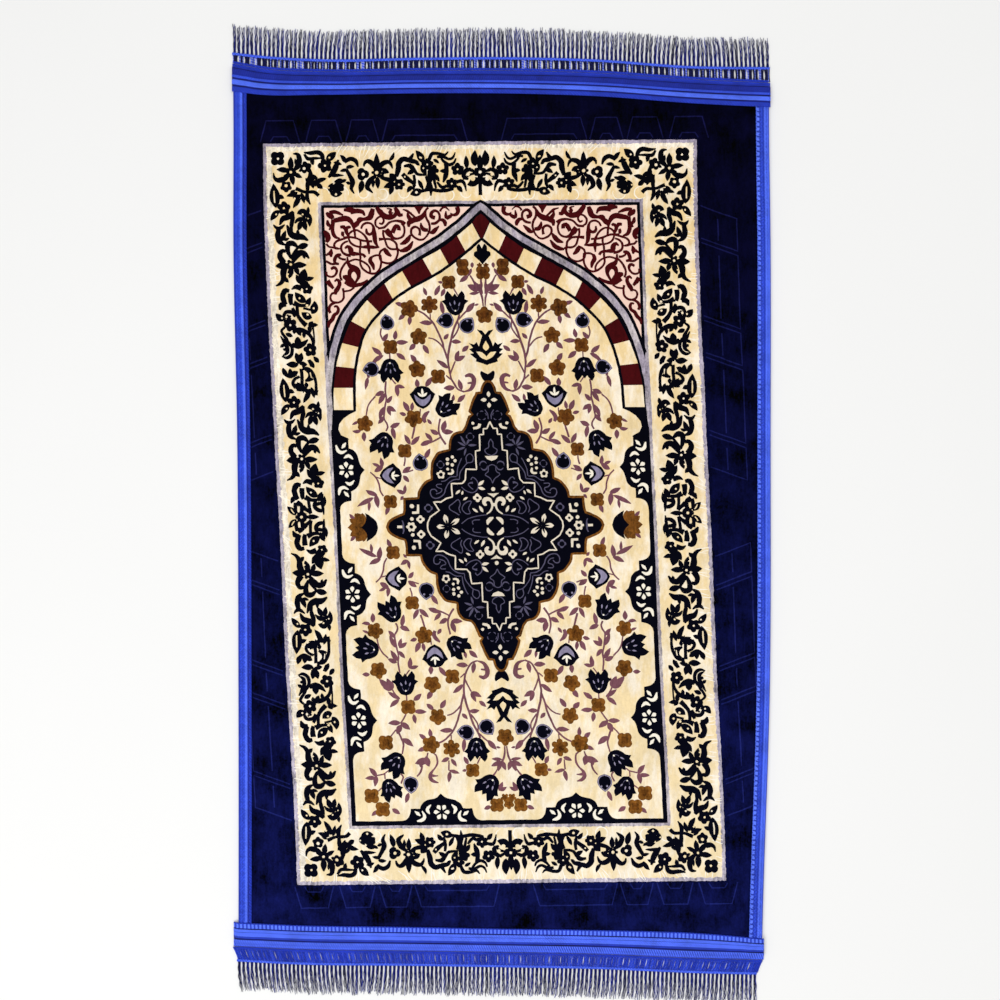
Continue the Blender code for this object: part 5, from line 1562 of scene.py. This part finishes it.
def dye_faces(middles, figures):
    """The number of the last figure's dye over each place."""
    order = np.argsort(middles[:, 0])
    sorted_x = middles[order, 0]
    dyes = np.zeros(len(middles), int)
    for dye, outline in figures:
        low, high = outline.min(axis=0), outline.max(axis=0)
        near = order[np.searchsorted(sorted_x, low[0]) : np.searchsorted(sorted_x, high[0])]
        near = near[(middles[near, 1] >= low[1]) & (middles[near, 1] <= high[1])]
        dyes[near[inside(outline, middles[near])]] = DYE_NUMBER[dye]
    return dyes


def printed(figures):
    """The figures' outlines on the rug, each a little ragged, as pile carries a print."""
    drift_x = uneven(DRIFT_HILLS, 5)
    drift_y = uneven(DRIFT_HILLS, 6)
    rng = np.random.default_rng(7)
    laid = []
    for dye, outline in figures:
        line = on_rug(outline)
        moved = np.stack([drift_x(*line.T), drift_y(*line.T)], axis=1) * WOBBLE
        laid.append((dye, line + moved + rng.uniform(-RAGGED, RAGGED, line.shape)))
    return laid


def pressed_share(x, y):
    """1 on the middle of a pressed strap, and 0 past its shoulders."""
    reach = STRAP_SHOULDER * SQUARE
    share = np.zeros(len(x))
    for line in (on_rug(line) for line in strapwork()):
        low, high = line.min(axis=0) - reach, line.max(axis=0) + reach
        near = np.flatnonzero((x > low[0]) & (x < high[0]) & (y > low[1]) & (y < high[1]))
        places = np.stack([x[near], y[near]], axis=1)
        for start, stop in zip(line, line[1:]):
            along = stop - start
            t = np.clip((places - start) @ along / (along @ along), 0.0, 1.0)
            distance = np.hypot(*(places - start - t[:, None] * along).T)
            share[near] = np.maximum(share[near], 1 - eased(distance / reach))
    return share


BROAD_HILLS, BROAD_RISE = 38 * MM, 0.22  # between hills, and their rise in millimetres
FINE_HILLS, FINE_RISE = 9 * MM, 0.10
PILE_SINK = 0.2 * MM
OPEN_REACH = 8 * MM  # in from the shoulder, over which the pile's unevenness grows


def pile_height(x, y):
    """The height of the plush: pressed at its rim, with a round shoulder up to the open pile."""
    away = open_distance(x, y)
    rise = np.sin(np.clip(away / SHOULDER, 0.0, 1.0) * math.pi / 2)
    broad = uneven(BROAD_HILLS, 21)(x, y) * BROAD_RISE * MM
    fine = uneven(FINE_HILLS, 22)(x, y) * FINE_RISE * MM
    open_share = eased((away - SHOULDER) / OPEN_REACH)
    loose = broad + fine - PILE_SINK - STRAP_DEPTH * pressed_share(x, y)
    return PRESSED_TOP + (PILE_TOP - PRESSED_TOP) * rise + loose * open_share


GRID_SIDE, GRID_END = 0.36, 0.60
GRID_STRAY = 0.3  # of the grid
GRID_CLEAR = 1.5 * MM  # in from the shoulder


def loose_grid():
    """Points a little off a square grid over the open pile."""
    rng = np.random.default_rng(3)
    x, y = np.meshgrid(np.arange(-GRID_SIDE, GRID_SIDE, GRID), np.arange(-GRID_END, GRID_END, GRID))
    spots = np.stack([x.ravel(), y.ravel()], axis=1)
    spots += rng.uniform(-GRID_STRAY, GRID_STRAY, spots.shape) * GRID
    return spots[open_distance(*spots.T) > SHOULDER + GRID_CLEAR]


RISE_SHARES = np.array([0, 0.3, 0.65, 1])  # of the shoulder, where the surface has loops of points


def mesh_piece(name, vertices, faces, numbers, materials):
    """A smooth piece, with the number of each face's material."""
    mesh = bpy.data.meshes.new(name)
    mesh.from_pydata(vertices.tolist(), [], faces)
    for material in materials:
        mesh.materials.append(material)
    mesh.polygons.foreach_set("material_index", numbers.astype(np.int32))
    mesh.shade_smooth()
    piece = bpy.data.objects.new(name, mesh)
    bpy.context.scene.collection.objects.link(piece)
    return piece


def pile_cloth(materials):
    """The plush over its whole cut size, its underside, and the cut edge between them."""
    figures = printed(design())
    cut = ring(CLOTH_INSET, *cut_rules())
    rises = [ring(BRAID_WIDTH + CLEAR + past, *sewn_rules(past)) for past in SHOULDER * RISE_SHARES]
    corners, triangles = cut_along([cut, *rises, *(outline for _, outline in figures)], loose_grid())
    middles = corners[triangles].mean(axis=1)
    keep = inside(cut, middles)
    dyes = dye_faces(middles[keep], figures)
    corners, triangles = without_spares(corners, triangles[keep])
    back_corners, back_triangles = cut_along([cut, rises[0], rises[-1]], [])
    back_triangles = back_triangles[inside(cut, back_corners[back_triangles].mean(axis=1))]
    back_corners, back_triangles = without_spares(back_corners, back_triangles)

    top_z = pile_height(*corners.T)
    back_z = PRESSED_UNDER * (1 - np.clip(open_distance(*back_corners.T) / SHOULDER, 0, 1))
    vertices = np.vstack([np.column_stack([corners, top_z]), np.column_stack([back_corners, back_z])])
    first_back = len(corners)
    rim = np.arange(len(cut))
    ahead = np.roll(rim, -1)
    walls = np.stack([ahead, rim, first_back + rim, first_back + ahead], axis=1)
    faces = triangles.tolist() + (back_triangles[:, ::-1] + first_back).tolist() + walls.tolist()
    ground = len(materials) - 1
    numbers = np.concatenate([dyes, np.full(len(back_triangles) + len(cut), ground)])
    return mesh_piece("pile_plush", vertices, faces, numbers, materials)


# ---- the side braids

# From the top flap's edge over the fold to the bottom flap's edge: inset, height and rib of the outer face,
# and inset and height of the inner one
BRAID_SECTION = (
    (17.9, 4.2, 0.0, 17.9, 3.6), (15.2, 4.4, 0.7, 15.2, 3.6), (11.6, 4.4, 0.7, 11.6, 3.6),
    (9.3, 4.3, 0.0, 9.3, 3.6), (7.0, 4.4, 0.7, 7.0, 3.6), (3.2, 4.4, 0.7, 3.2, 3.6),
    (0.8, 3.9, 0.1, 1.7, 3.6), (0.0, 2.3, 0.0, 1.0, 2.3), (0.7, 0.5, 0.0, 1.5, 0.95),
    (2.2, 0.0, 0.0, 2.6, 0.8), (17.3, 0.0, 0.0, 17.3, 0.8),
)
TOP_FLAP_POINTS = 6  # of the section, up to where it turns over the fold
TOP_FLAP_COLUMNS = 24
TRIM_STATION = 1.35 * MM
PLAIT_PITCH = 5.6  # millimetres along a braid between the strands that cross a rib
PLAIT_RELIEF = 0.16
PLAIT_SLANT = 0.9
NICK = 0.4  # by which the braids' inner edge draws in between its strands
# The stripes paint light and shade over the braid's blue yarn: painted highlights where a rib's crest catches
# the light, painted shade in the groove between the ribs.
LEFT_LIT_STRIPES = (  # millimetres in from the outer edge
    (3.0, "middle"), (5.4, "clear"), (6.4, "middle"), (8.8, "clear"), (12.4, "bright"), (14.8, "dull"),
    (18.5, "middle"),
)
RIGHT_LIT_STRIPES = (
    (1.2, "middle"), (3.4, "bright"), (4.4, "clear"), (7.2, "bright"), (9.4, "middle"), (11.8, "clear"),
    (13.6, "middle"), (16.8, "dashes"), (18.5, "bright"),
)
STRIPE_WAVE = 0.35


def sheet_piece(name, face, back, numbers, materials):
    """A closed piece between two grids of points; numbers are the materials of the front grid's faces."""
    rows_count, columns = face.shape[:2]
    count = rows_count * columns
    index = np.arange(count).reshape(rows_count, columns)
    quads = np.stack([index[:-1, :-1], index[:-1, 1:], index[1:, 1:], index[1:, :-1]], axis=-1).reshape(-1, 4)
    rim = np.concatenate([index[0, :-1], index[:-1, -1], index[-1, :0:-1], index[:0:-1, 0]])
    ahead = np.roll(rim, -1)
    walls = np.stack([ahead, rim, rim + count, ahead + count], axis=-1)
    faces = np.vstack([quads, quads[:, ::-1] + count, walls])
    vertices = np.vstack([face.reshape(-1, 3), back.reshape(-1, 3)])
    a, b, c = (vertices[faces[:, k]] for k in (0, 1, 2))
    if np.einsum("ij,ij->i", a, np.cross(b, c)).sum() < 0:
        faces = faces[:, ::-1]
    numbers = numbers.ravel()
    numbers = np.concatenate([numbers, numbers, np.full(len(walls), numbers[0])])
    return mesh_piece(name, vertices, faces.tolist(), numbers, materials)


def striped(where, stripes):
    """The yarns' numbers at distances across a trim, in millimetres."""
    limits, names = zip(*stripes)
    yarns = np.array([YARN_NUMBER[name] for name in names])
    return yarns[np.minimum(np.searchsorted(limits, where), len(stripes) - 1)]


def braid_columns():
    """The section at evenly close points, each field in a row of its own; flats run smoothly into ribs."""
    last = TOP_FLAP_POINTS + 1
    under = np.arange(last + 0.5, len(BRAID_SECTION) - 0.9)
    at = np.concatenate([np.linspace(0, last, TOP_FLAP_COLUMNS), under])
    whole = np.arange(len(BRAID_SECTION))
    step = np.minimum(at.astype(int), len(BRAID_SECTION) - 2)
    rounded = step + eased(at - step)
    table = np.array(BRAID_SECTION).T
    insets, inner_insets = (np.interp(at, whole, table[k]) for k in (0, 3))
    outer_z, rib, inner_z = (np.interp(rounded, whole, table[k]) for k in (1, 2, 4))
    return insets, outer_z, rib, inner_insets, inner_z


TOP_FLAP_LOW = 3.0  # millimetres; a place of the section above this is on the top flap
RIBS_PART = 9.3  # inset of the groove between the two ribs
NICKED_FROM = 17


def side_braid(name, edge, inward, stripes, materials):
    """A flat braid folded over a side of the cloth. Its two plaited ribs flatten out under the tapes."""
    low_rule, high_rule = cut_rules()
    length = float(high_rule(0.0) - low_rule(0.0))
    shares = np.linspace(0.0, 1.0, int(length / TRIM_STATION))

    def station(x):
        return low_rule(x) + shares * (high_rule(x) - low_rule(x))

    face = []
    back = []
    for inset, outer_z, rib, inner_inset, inner_z in np.array(braid_columns()).T:
        top = outer_z > TOP_FLAP_LOW
        x, y = settle(lambda y, inset=inset: edge(y) + inward * inset * MM, station)
        past_tape = np.minimum(y - TAPE_INNER["bottom"](x), TAPE_INNER["top"](x) - y) - CLEAR
        raised = eased(past_tape / SHOULDER)
        slant = PLAIT_SLANT if inset > RIBS_PART else -PLAIT_SLANT
        plait = np.sin(2 * math.pi * (y / MM + slant * inset) / PLAIT_PITCH)
        relief = raised * rib * (1 + PLAIT_RELIEF * plait) if top else 0.0
        nick = NICK * (0.5 + 0.5 * plait) * raised if top and inset > NICKED_FROM else 0.0
        height = np.full(len(x), outer_z) * MM + relief * MM
        face.append(np.stack([x - inward * nick * MM, y, height], axis=-1))
        x, y = settle(lambda y, inset=inner_inset: edge(y) + inward * inset * MM, station)
        back.append(np.stack([x - inward * nick * MM, y, np.full(len(x), inner_z * MM)], axis=-1))
    face, back = (np.array(grid).swapaxes(0, 1) for grid in (face, back))
    insets = braid_columns()[0]
    middles = (insets[:-1] + insets[1:]) / 2
    along = (face[:-1, :-1, 1] + face[1:, :-1, 1]) / 2 / MM
    wave = STRIPE_WAVE * np.sin(2 * math.pi * along / PLAIT_PITCH)
    return sheet_piece(name, face, back, striped(middles[None, :] + wave, stripes), materials)


# ---- the end tapes
TAPE_ON_CLOTH = (  # share of the way from the tape's inner edge to the cut end of the cloth
    (0.00, 0.9), (0.05, 1.5), (0.18, 1.5), (0.25, 1.0), (0.34, 1.9), (0.48, 1.9), (0.54, 1.2), (0.61, 1.8),
    (0.74, 1.8), (0.83, 1.0), (0.93, 1.3),
)
TAPE_PAST_END = ((0.6, 1.3), (5.3, 1.4), (7.5, 1.0))  # past the cut end of the cloth, thickness
TAPE_COLUMNS = 34  # over the cloth
FREE_COLUMNS = 11
WALE_PITCH = 3.3  # millimetres along a tape between the turns of its ribs
WALE_RELIEF = 0.09
GROOVE_THICK = 0.9  # of a tape, where its ribs don't show
# Across the tapes likewise: bright stripes are painted highlights on the ribs, deep ones painted shade in the
# grooves; pearls, dashes and slanted also carry the weave's own patterns.
TOP_LIT_STRIPES = (  # millimetres out from the inner edge, on a tape 31.5 wide
    (5.3, "middle"), (7.4, "deep"), (12.8, "bright"), (14.6, "deep"), (17.6, "clear"), (24.3, "dull"),
    (25.7, "deep"), (32.0, "middle"),
)
BOTTOM_LIT_STRIPES = (
    (1.3, "middle"), (6.8, "pearls"), (8.0, "deep"), (11.4, "bright"), (12.3, "middle"), (16.8, "bright"),
    (19.6, "middle"), (21.4, "deep"), (31.0, "slanted"), (32.0, "middle"),
)
STRIPED_WIDTH = 31.5


def tape_sides(end):
    """x of a tape's two ends, and of the braids' outer edges beneath it."""
    inner = TAPE_INNER[end.name]
    _, left_y = settle(left_edge, inner)
    _, right_y = settle(right_edge, inner)
    left, right = float(left_edge(left_y)), float(right_edge(right_y))
    return left - end.left_overhang * MM, left, right, right + end.right_overhang * MM


def tape_underside(end, x):
    """The height of a tape's underside along it, which climbs onto both side braids."""
    tape_left, braid_left, braid_right, tape_right = tape_sides(end)
    on_braid = BRAID_WIDTH + 2 * CLEAR
    over_cloth = PRESSED_TOP + CLEAR
    over_braid = BRAID_FLAT_TOP + CLEAR
    at = (
        tape_left, braid_left, braid_left + on_braid, braid_left + on_braid + TAPE_RAMP,
        braid_right - on_braid - TAPE_RAMP, braid_right - on_braid, braid_right, tape_right,
    )
    low_left = max(0.0, over_braid - DROOP * end.left_overhang * MM)
    low_right = max(0.0, over_braid - DROOP * end.right_overhang * MM)
    level = (low_left, over_braid, over_braid, over_cloth, over_cloth, over_braid, over_braid, low_right)
    return np.interp(x, at, level)


def end_tape(end, stripes, materials):
    """A ribbed tape over the cloth's end, which bends down to the floor past the cut end."""
    tape_left, _, _, tape_right = tape_sides(end)
    x = np.linspace(tape_left, tape_right, int((tape_right - tape_left) / TRIM_STATION))
    level = tape_underside(end, x)
    inner, outer = TAPE_INNER[end.name](x), TAPE_OUTER[end.name](x)
    cut = outer - end.away * TAPE_PAST_CLOTH
    wales = np.sin(2 * math.pi * x / MM / WALE_PITCH)
    shares, thicks = np.array(TAPE_ON_CLOTH).T
    face = []
    back = []
    across = []
    width = STRIPED_WIDTH - TAPE_PAST_CLOTH / MM
    for share in np.linspace(0.0, shares[-1], TAPE_COLUMNS):
        thick = np.interp(share, shares, thicks)
        relief = WALE_RELIEF * (thick - GROOVE_THICK) * wales
        y = inner + share * (cut - inner)
        back.append(np.stack([x, y, level], axis=-1))
        face.append(np.stack([x, y, level + (thick + relief) * MM], axis=-1))
        across.append(share * width)
    pasts, free_thicks = np.array(TAPE_PAST_END).T
    for past in np.linspace(pasts[0], pasts[-1], FREE_COLUMNS):
        thick = np.interp(past, pasts, free_thicks)
        under = np.maximum(level - max(0.0, past * MM - TAPE_BEND), 0.0)
        y = cut + end.away * past * MM
        back.append(np.stack([x, y, under], axis=-1))
        face.append(np.stack([x, y, under + (thick + 0.5 * WALE_RELIEF * wales) * MM], axis=-1))
        across.append(width + past)
    face, back = (np.array(grid).swapaxes(0, 1) for grid in (face, back))
    across = np.array(across)
    middles = np.tile((across[:-1] + across[1:]) / 2, (len(x) - 1, 1))
    return sheet_piece(f"tape_{end.name}", face, back, striped(middles, stripes), materials)


# ---- the fringes

LOCKS = 62  # pairs of loose strands at each end
BUNDLES = 92
BUNDLE_YARNS = 6
BUNDLE_HALVES = {  # millimetres, from the tape to the chain line
    "top": (3.4, 2.6, 2.3, 2.6, 3.3),
    "bottom": (3.6, 3.1, 2.8, 3.0, 3.5),
}
NET_SLANT = {"top": 0.0, "bottom": 2.4}  # by which the bundles run to the right on their way out
YARN_RADIUS = 0.6
HEADER_ROWS = (0.8, 1.7, 2.6)  # millimetres past the tape
HEADER_RADIUS = 0.72
CHAIN_WIDTH = 4.6 * MM
CHAIN_SWING = 1.25
CHAIN_PITCH = 4.2
CHAIN_RADIUS = 0.85
STRAND_LENGTH = 40.0 * MM
STRAND_SPREAD = 0.25  # of the pitch, from a lock's middle to each of its strands
STRAND_BEND_AT = 0.55  # share of a strand's length where it bends
STRAND_BEND = 0.5 * MM
STRAND_SHORTER = 2.5 * MM
SWAY = 4.5 * MM
SWAYS = 12
SPLAY = 0.35 * MM
STRAND_YARNS = 5
STRAND_POINTS = 16


class Threads:
    """Round threads, each a closed tube along a line of points, gathered into one piece."""

    def __init__(self):
        self.vertices = []
        self.quads = []
        self.caps = []
        self.numbers = []
        self.cap_numbers = []
        self.count = 0

    def add(self, path, radius, yarn, sides=5):
        ahead = np.gradient(path, axis=0)
        ahead /= np.linalg.norm(ahead, axis=1)[:, None]
        side = np.cross(ahead, (0.0, 0.0, 1.0))
        side /= np.linalg.norm(side, axis=1)[:, None]
        up = np.cross(side, ahead)
        turns = np.arange(sides) * 2 * math.pi / sides
        radius = np.broadcast_to(np.asarray(radius, dtype=float), len(path))[:, None, None] * MM
        round_it = np.cos(turns)[None, :, None] * side[:, None] + np.sin(turns)[None, :, None] * up[:, None]
        self.vertices.append((path[:, None] + radius * round_it).reshape(-1, 3))
        index = self.count + np.arange(len(path) * sides).reshape(len(path), sides)
        beside = np.roll(index, -1, axis=1)
        quads = np.stack([index[:-1], index[1:], beside[1:], beside[:-1]], axis=-1).reshape(-1, 4)
        self.quads.append(quads)
        self.numbers.append(np.full(len(quads), YARN_NUMBER[yarn]))
        self.caps += [index[0].tolist(), index[-1, ::-1].tolist()]
        self.cap_numbers += [YARN_NUMBER[yarn]] * 2
        self.count += len(path) * sides

    def piece(self, name, materials):
        faces = np.vstack(self.quads).tolist() + self.caps
        numbers = np.concatenate([*self.numbers, self.cap_numbers])
        return mesh_piece(name, np.vstack(self.vertices), faces, numbers, materials)


HEADER_INSET = 1.5 * MM  # of the cords' ends from the tape's
HEADER_STEP = 2.4 * MM
HEADER_WAVE, HEADER_PITCH = 0.12, 5.2  # millimetres
HEADER_GAP = 0.3


def lay_header(threads, end, low, high):
    """The three cords along the outer edge of a tape that hold the roots of the net."""
    x = np.arange(low + HEADER_INSET, high - HEADER_INSET, HEADER_STEP)
    for row, past in enumerate(HEADER_ROWS):
        wave = HEADER_WAVE * np.sin(2 * math.pi * x / MM / HEADER_PITCH + row * 2.0)
        y = TAPE_OUTER[end.name](x) + end.away * (past + HEADER_GAP + wave) * MM
        path = np.stack([x, y, np.full(len(x), HEADER_RADIUS * MM)], axis=-1)
        threads.add(path, HEADER_RADIUS, "middle", 6)


NET_POINTS = 8  # along each yarn
NET_LEAN, NET_STRAY, NET_LIFT = 0.35, 0.12, 0.3  # millimetres
NIGHT_SHARE, MIDDLE_SHARE = 0.75, 0.6  # of the yarns at the top end, and at the bottom one


def lay_net(threads, end, across, chain_y, rng):
    """The bundles of yarn between the header and the chain line, gathered at their middles."""
    depths = np.linspace(0.0, 1.0, NET_POINTS)
    halves = BUNDLE_HALVES[end.name]
    halves = np.interp(depths, np.linspace(0.0, 1.0, len(halves)), halves)
    for bundle in range(BUNDLES):
        share = (bundle + 0.5) / BUNDLES
        lean = rng.uniform(-NET_LEAN, NET_LEAN)
        for yarn in range(BUNDLE_YARNS):
            aside = (yarn / (BUNDLE_YARNS - 1) - 0.5) * 2
            bowed = lean * depths * (1 - depths) * 4
            x = np.array([across(share, depth) for depth in depths])
            x = x + (aside * halves + bowed + rng.uniform(-NET_STRAY, NET_STRAY)) * MM
            x = x + (depths - 0.5) * NET_SLANT[end.name] * MM
            start = TAPE_OUTER[end.name](x) + end.away * 1.0 * MM
            y = start + depths * (chain_y(x, -0.5) - start)
            z = YARN_RADIUS + 0.02 + rng.uniform(0.0, NET_LIFT) * np.sin(math.pi * depths)
            dark = "night" if rng.random() < NIGHT_SHARE else "light"
            dye = dark if end.name == "top" else ("middle" if rng.random() < MIDDLE_SHARE else "clear")
            threads.add(np.stack([x, y, z * MM], axis=-1), YARN_RADIUS, dye)


CHAIN_STEP = 0.85 * MM
CHAIN_LIFT = 0.3


def lay_chain(threads, end, low, high, chain_y):
    """Three strands plaited along the chain line."""
    x = np.arange(low, high, CHAIN_STEP)
    turns = 2 * math.pi * x / MM / CHAIN_PITCH
    for strand in range(3):
        phase = turns + strand * 2 * math.pi / 3
        y = chain_y(x, 0) + end.away * CHAIN_SWING * np.sin(phase) * MM
        z = CHAIN_RADIUS + CHAIN_LIFT * (1 + np.sin(2 * phase + 0.6)) / 2
        threads.add(np.stack([x, y, z * MM], axis=-1), CHAIN_RADIUS, "bright" if strand else "clear")


STRAND_GAP = 0.6  # millimetres between a strand's yarns at its root
STRAND_CURLS = (0.2, 0.9)  # millimetres
CURL_TURNS = (9.0, 22.0)  # radians along a yarn
SHORTEST_YARN = 0.86
STRAND_TAPER = ((0.0, 0.1, 1.0), (0.55, 0.48, 0.26))  # share of the length, and radius
STRAND_LOW, STRAND_LIFT = 0.55, 0.35
STRAND_DYES = ("night", "night", "deep", "deep", "dull")


def lay_locks(threads, end, across, chain_y):
    """Two loose strands for each lock, each of a few curly yarns that thin out to their tips."""
    rng = random.Random(end.seed)
    curls = random.Random(end.seed + 1)
    sways = [rng.uniform(-SWAY, SWAY) for _ in range(SWAYS)]
    leans = np.interp(np.linspace(0.0, 1.0, LOCKS), np.linspace(0.0, 1.0, SWAYS), sways)
    shares = np.linspace(0.0, 1.0, STRAND_POINTS)
    radius = np.interp(shares, *STRAND_TAPER)
    for lock in range(LOCKS):
        middle = (lock + 0.5) / LOCKS
        for side in (-1, 1):
            root = across(middle + side * STRAND_SPREAD / LOCKS, 1.0)
            lean = leans[lock] + side * SPLAY
            length = STRAND_LENGTH - rng.uniform(0.0, STRAND_SHORTER)
            bend = rng.uniform(-STRAND_BEND, STRAND_BEND)
            bent = np.interp(shares, (0.0, STRAND_BEND_AT, 1.0), (0.0, bend, 0.0))
            for yarn in range(STRAND_YARNS):
                aside = (yarn - 2) * STRAND_GAP * (1 + 0.5 * shares)
                curl = curls.uniform(*STRAND_CURLS) * np.sin(shares * curls.uniform(*CURL_TURNS) + yarn * 2)
                shorter = curls.uniform(SHORTEST_YARN, 1.0)
                x = root + shares**2 * lean + bent + (aside + curl * np.sqrt(shares)) * MM
                y = chain_y(root, 0.7) + end.away * shares * shorter * (length + 0.15 * CHAIN_WIDTH)
                z = STRAND_LOW + STRAND_LIFT * (1 + np.sin(shares * 9 + yarn * 2.1)) / 2
                threads.add(np.stack([x, y, z * MM], axis=-1), radius, curls.choice(STRAND_DYES), 4)


def fringe(end, materials):
    """Header cords along a tape, an open net of yarn bundles, a plaited chain line and loose locks."""
    tape_left, _, _, tape_right = tape_sides(end)
    chain = CHAIN[end.name]

    def across(share, depth):
        """x at a share of the fringe's width, drawn in as depth goes from 0 at the tape to 1 at the chain."""
        low = tape_left + end.left_tuck * MM * depth
        high = tape_right - end.right_tuck * MM * depth
        return low + share * (high - low)

    def chain_y(x, side):
        return chain(x) + end.away * side * CHAIN_WIDTH / 2

    threads = Threads()
    lay_header(threads, end, tape_left, tape_right)
    lay_net(threads, end, across, chain_y, random.Random(end.seed + 2))
    lay_chain(threads, end, across(0.0, 1.0), across(1.0, 1.0), chain_y)
    lay_locks(threads, end, across, chain_y)
    return threads.piece(f"fringe_{end.name}_yarns", materials)


# ---- the room


FLOOR_REACH = 6.0
FLOOR_HEIGHT = -0.0006


def pale_floor():
    mesh = bpy.data.meshes.new("floor")
    sides = ((-1, -1), (1, -1), (1, 1), (-1, 1))
    corners = [(x * FLOOR_REACH, y * FLOOR_REACH, FLOOR_HEIGHT) for x, y in sides]
    mesh.from_pydata(corners, [], [(0, 1, 2, 3)])
    floor = bpy.data.objects.new("floor", mesh)
    bpy.context.scene.collection.objects.link(floor)
    material, nodes, shader = new_material("pale_floor")
    colour = nodes.mixed(nodes.noise(nodes.place(), 3.0), (0.92, 0.92, 0.91, 1), (0.94, 0.94, 0.93, 1))
    nodes.join(colour, shader.inputs["Base Color"])
    shader.inputs["Roughness"].default_value = 0.9
    mesh.materials.append(material)


def soft_light(name, place, size, power):
    """A broad lamp that points at the middle of the rug."""
    data = bpy.data.lights.new(name, "AREA")
    data.shape = "RECTANGLE"
    data.size, data.size_y = size
    data.energy = power
    lamp = bpy.data.objects.new(name, data)
    lamp.location = place
    lamp.rotation_euler = (-Vector(place)).to_track_quat("-Z", "Y").to_euler()
    bpy.context.scene.collection.objects.link(lamp)


def studio():
    world = bpy.data.worlds.new("studio")
    world.use_nodes = True
    background = world.node_tree.nodes["Background"]
    background.inputs["Color"].default_value = (1.0, 1.0, 1.0, 1)
    background.inputs["Strength"].default_value = 0.5
    bpy.context.scene.world = world
    soft_light("window", (-1.2, -2.2, 2.6), (2.4, 1.6), 50.0)
    soft_light("ceiling", (0.4, 0.9, 3.2), (2.6, 2.6), 38.0)


def camera():
    data = bpy.data.cameras.new("camera")
    data.sensor_width = 36.0
    data.lens = data.sensor_width * CAMERA_HEIGHT / FRAME_SIDE
    view = bpy.data.objects.new("camera", data)
    view.location = (*FRAME_MIDDLE, CAMERA_HEIGHT + PILE_TOP)
    bpy.context.scene.collection.objects.link(view)
    bpy.context.scene.camera = view


def stand_in(piece, node):
    """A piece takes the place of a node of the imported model."""
    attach(piece, BODY)
    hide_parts(node)
    return piece


def main():
    camera()
    studio()
    pale_floor()
    bpy.context.scene.view_settings.view_transform = "Standard"
    pile_nap_and_sheen = nap_and_sheen_group()
    materials = [pile_material(dye, pile_nap_and_sheen) for dye in DYES] + [ground_material()]
    twisted = twisted_yarn_group()
    yarns = [yarn_material(yarn, twisted) for yarn in YARNS]
    cloth = stand_in(pile_cloth(materials), "pile_cloth")
    left = side_braid("braid_left", left_edge, 1, LEFT_LIT_STRIPES, yarns)
    right = side_braid("braid_right", right_edge, -1, RIGHT_LIT_STRIPES, yarns)
    sewn_on = [
        stand_in(left, "side_braid_left"),
        stand_in(right, "side_braid_right"),
    ]
    for end, stripes in zip(ENDS, (TOP_LIT_STRIPES, BOTTOM_LIT_STRIPES)):
        sewn_on.append(stand_in(end_tape(end, stripes, yarns), f"end_tape_{end.name}"))
        sewn_on.append(stand_in(fringe(end, yarns), f"fringe_{end.name}"))


main()
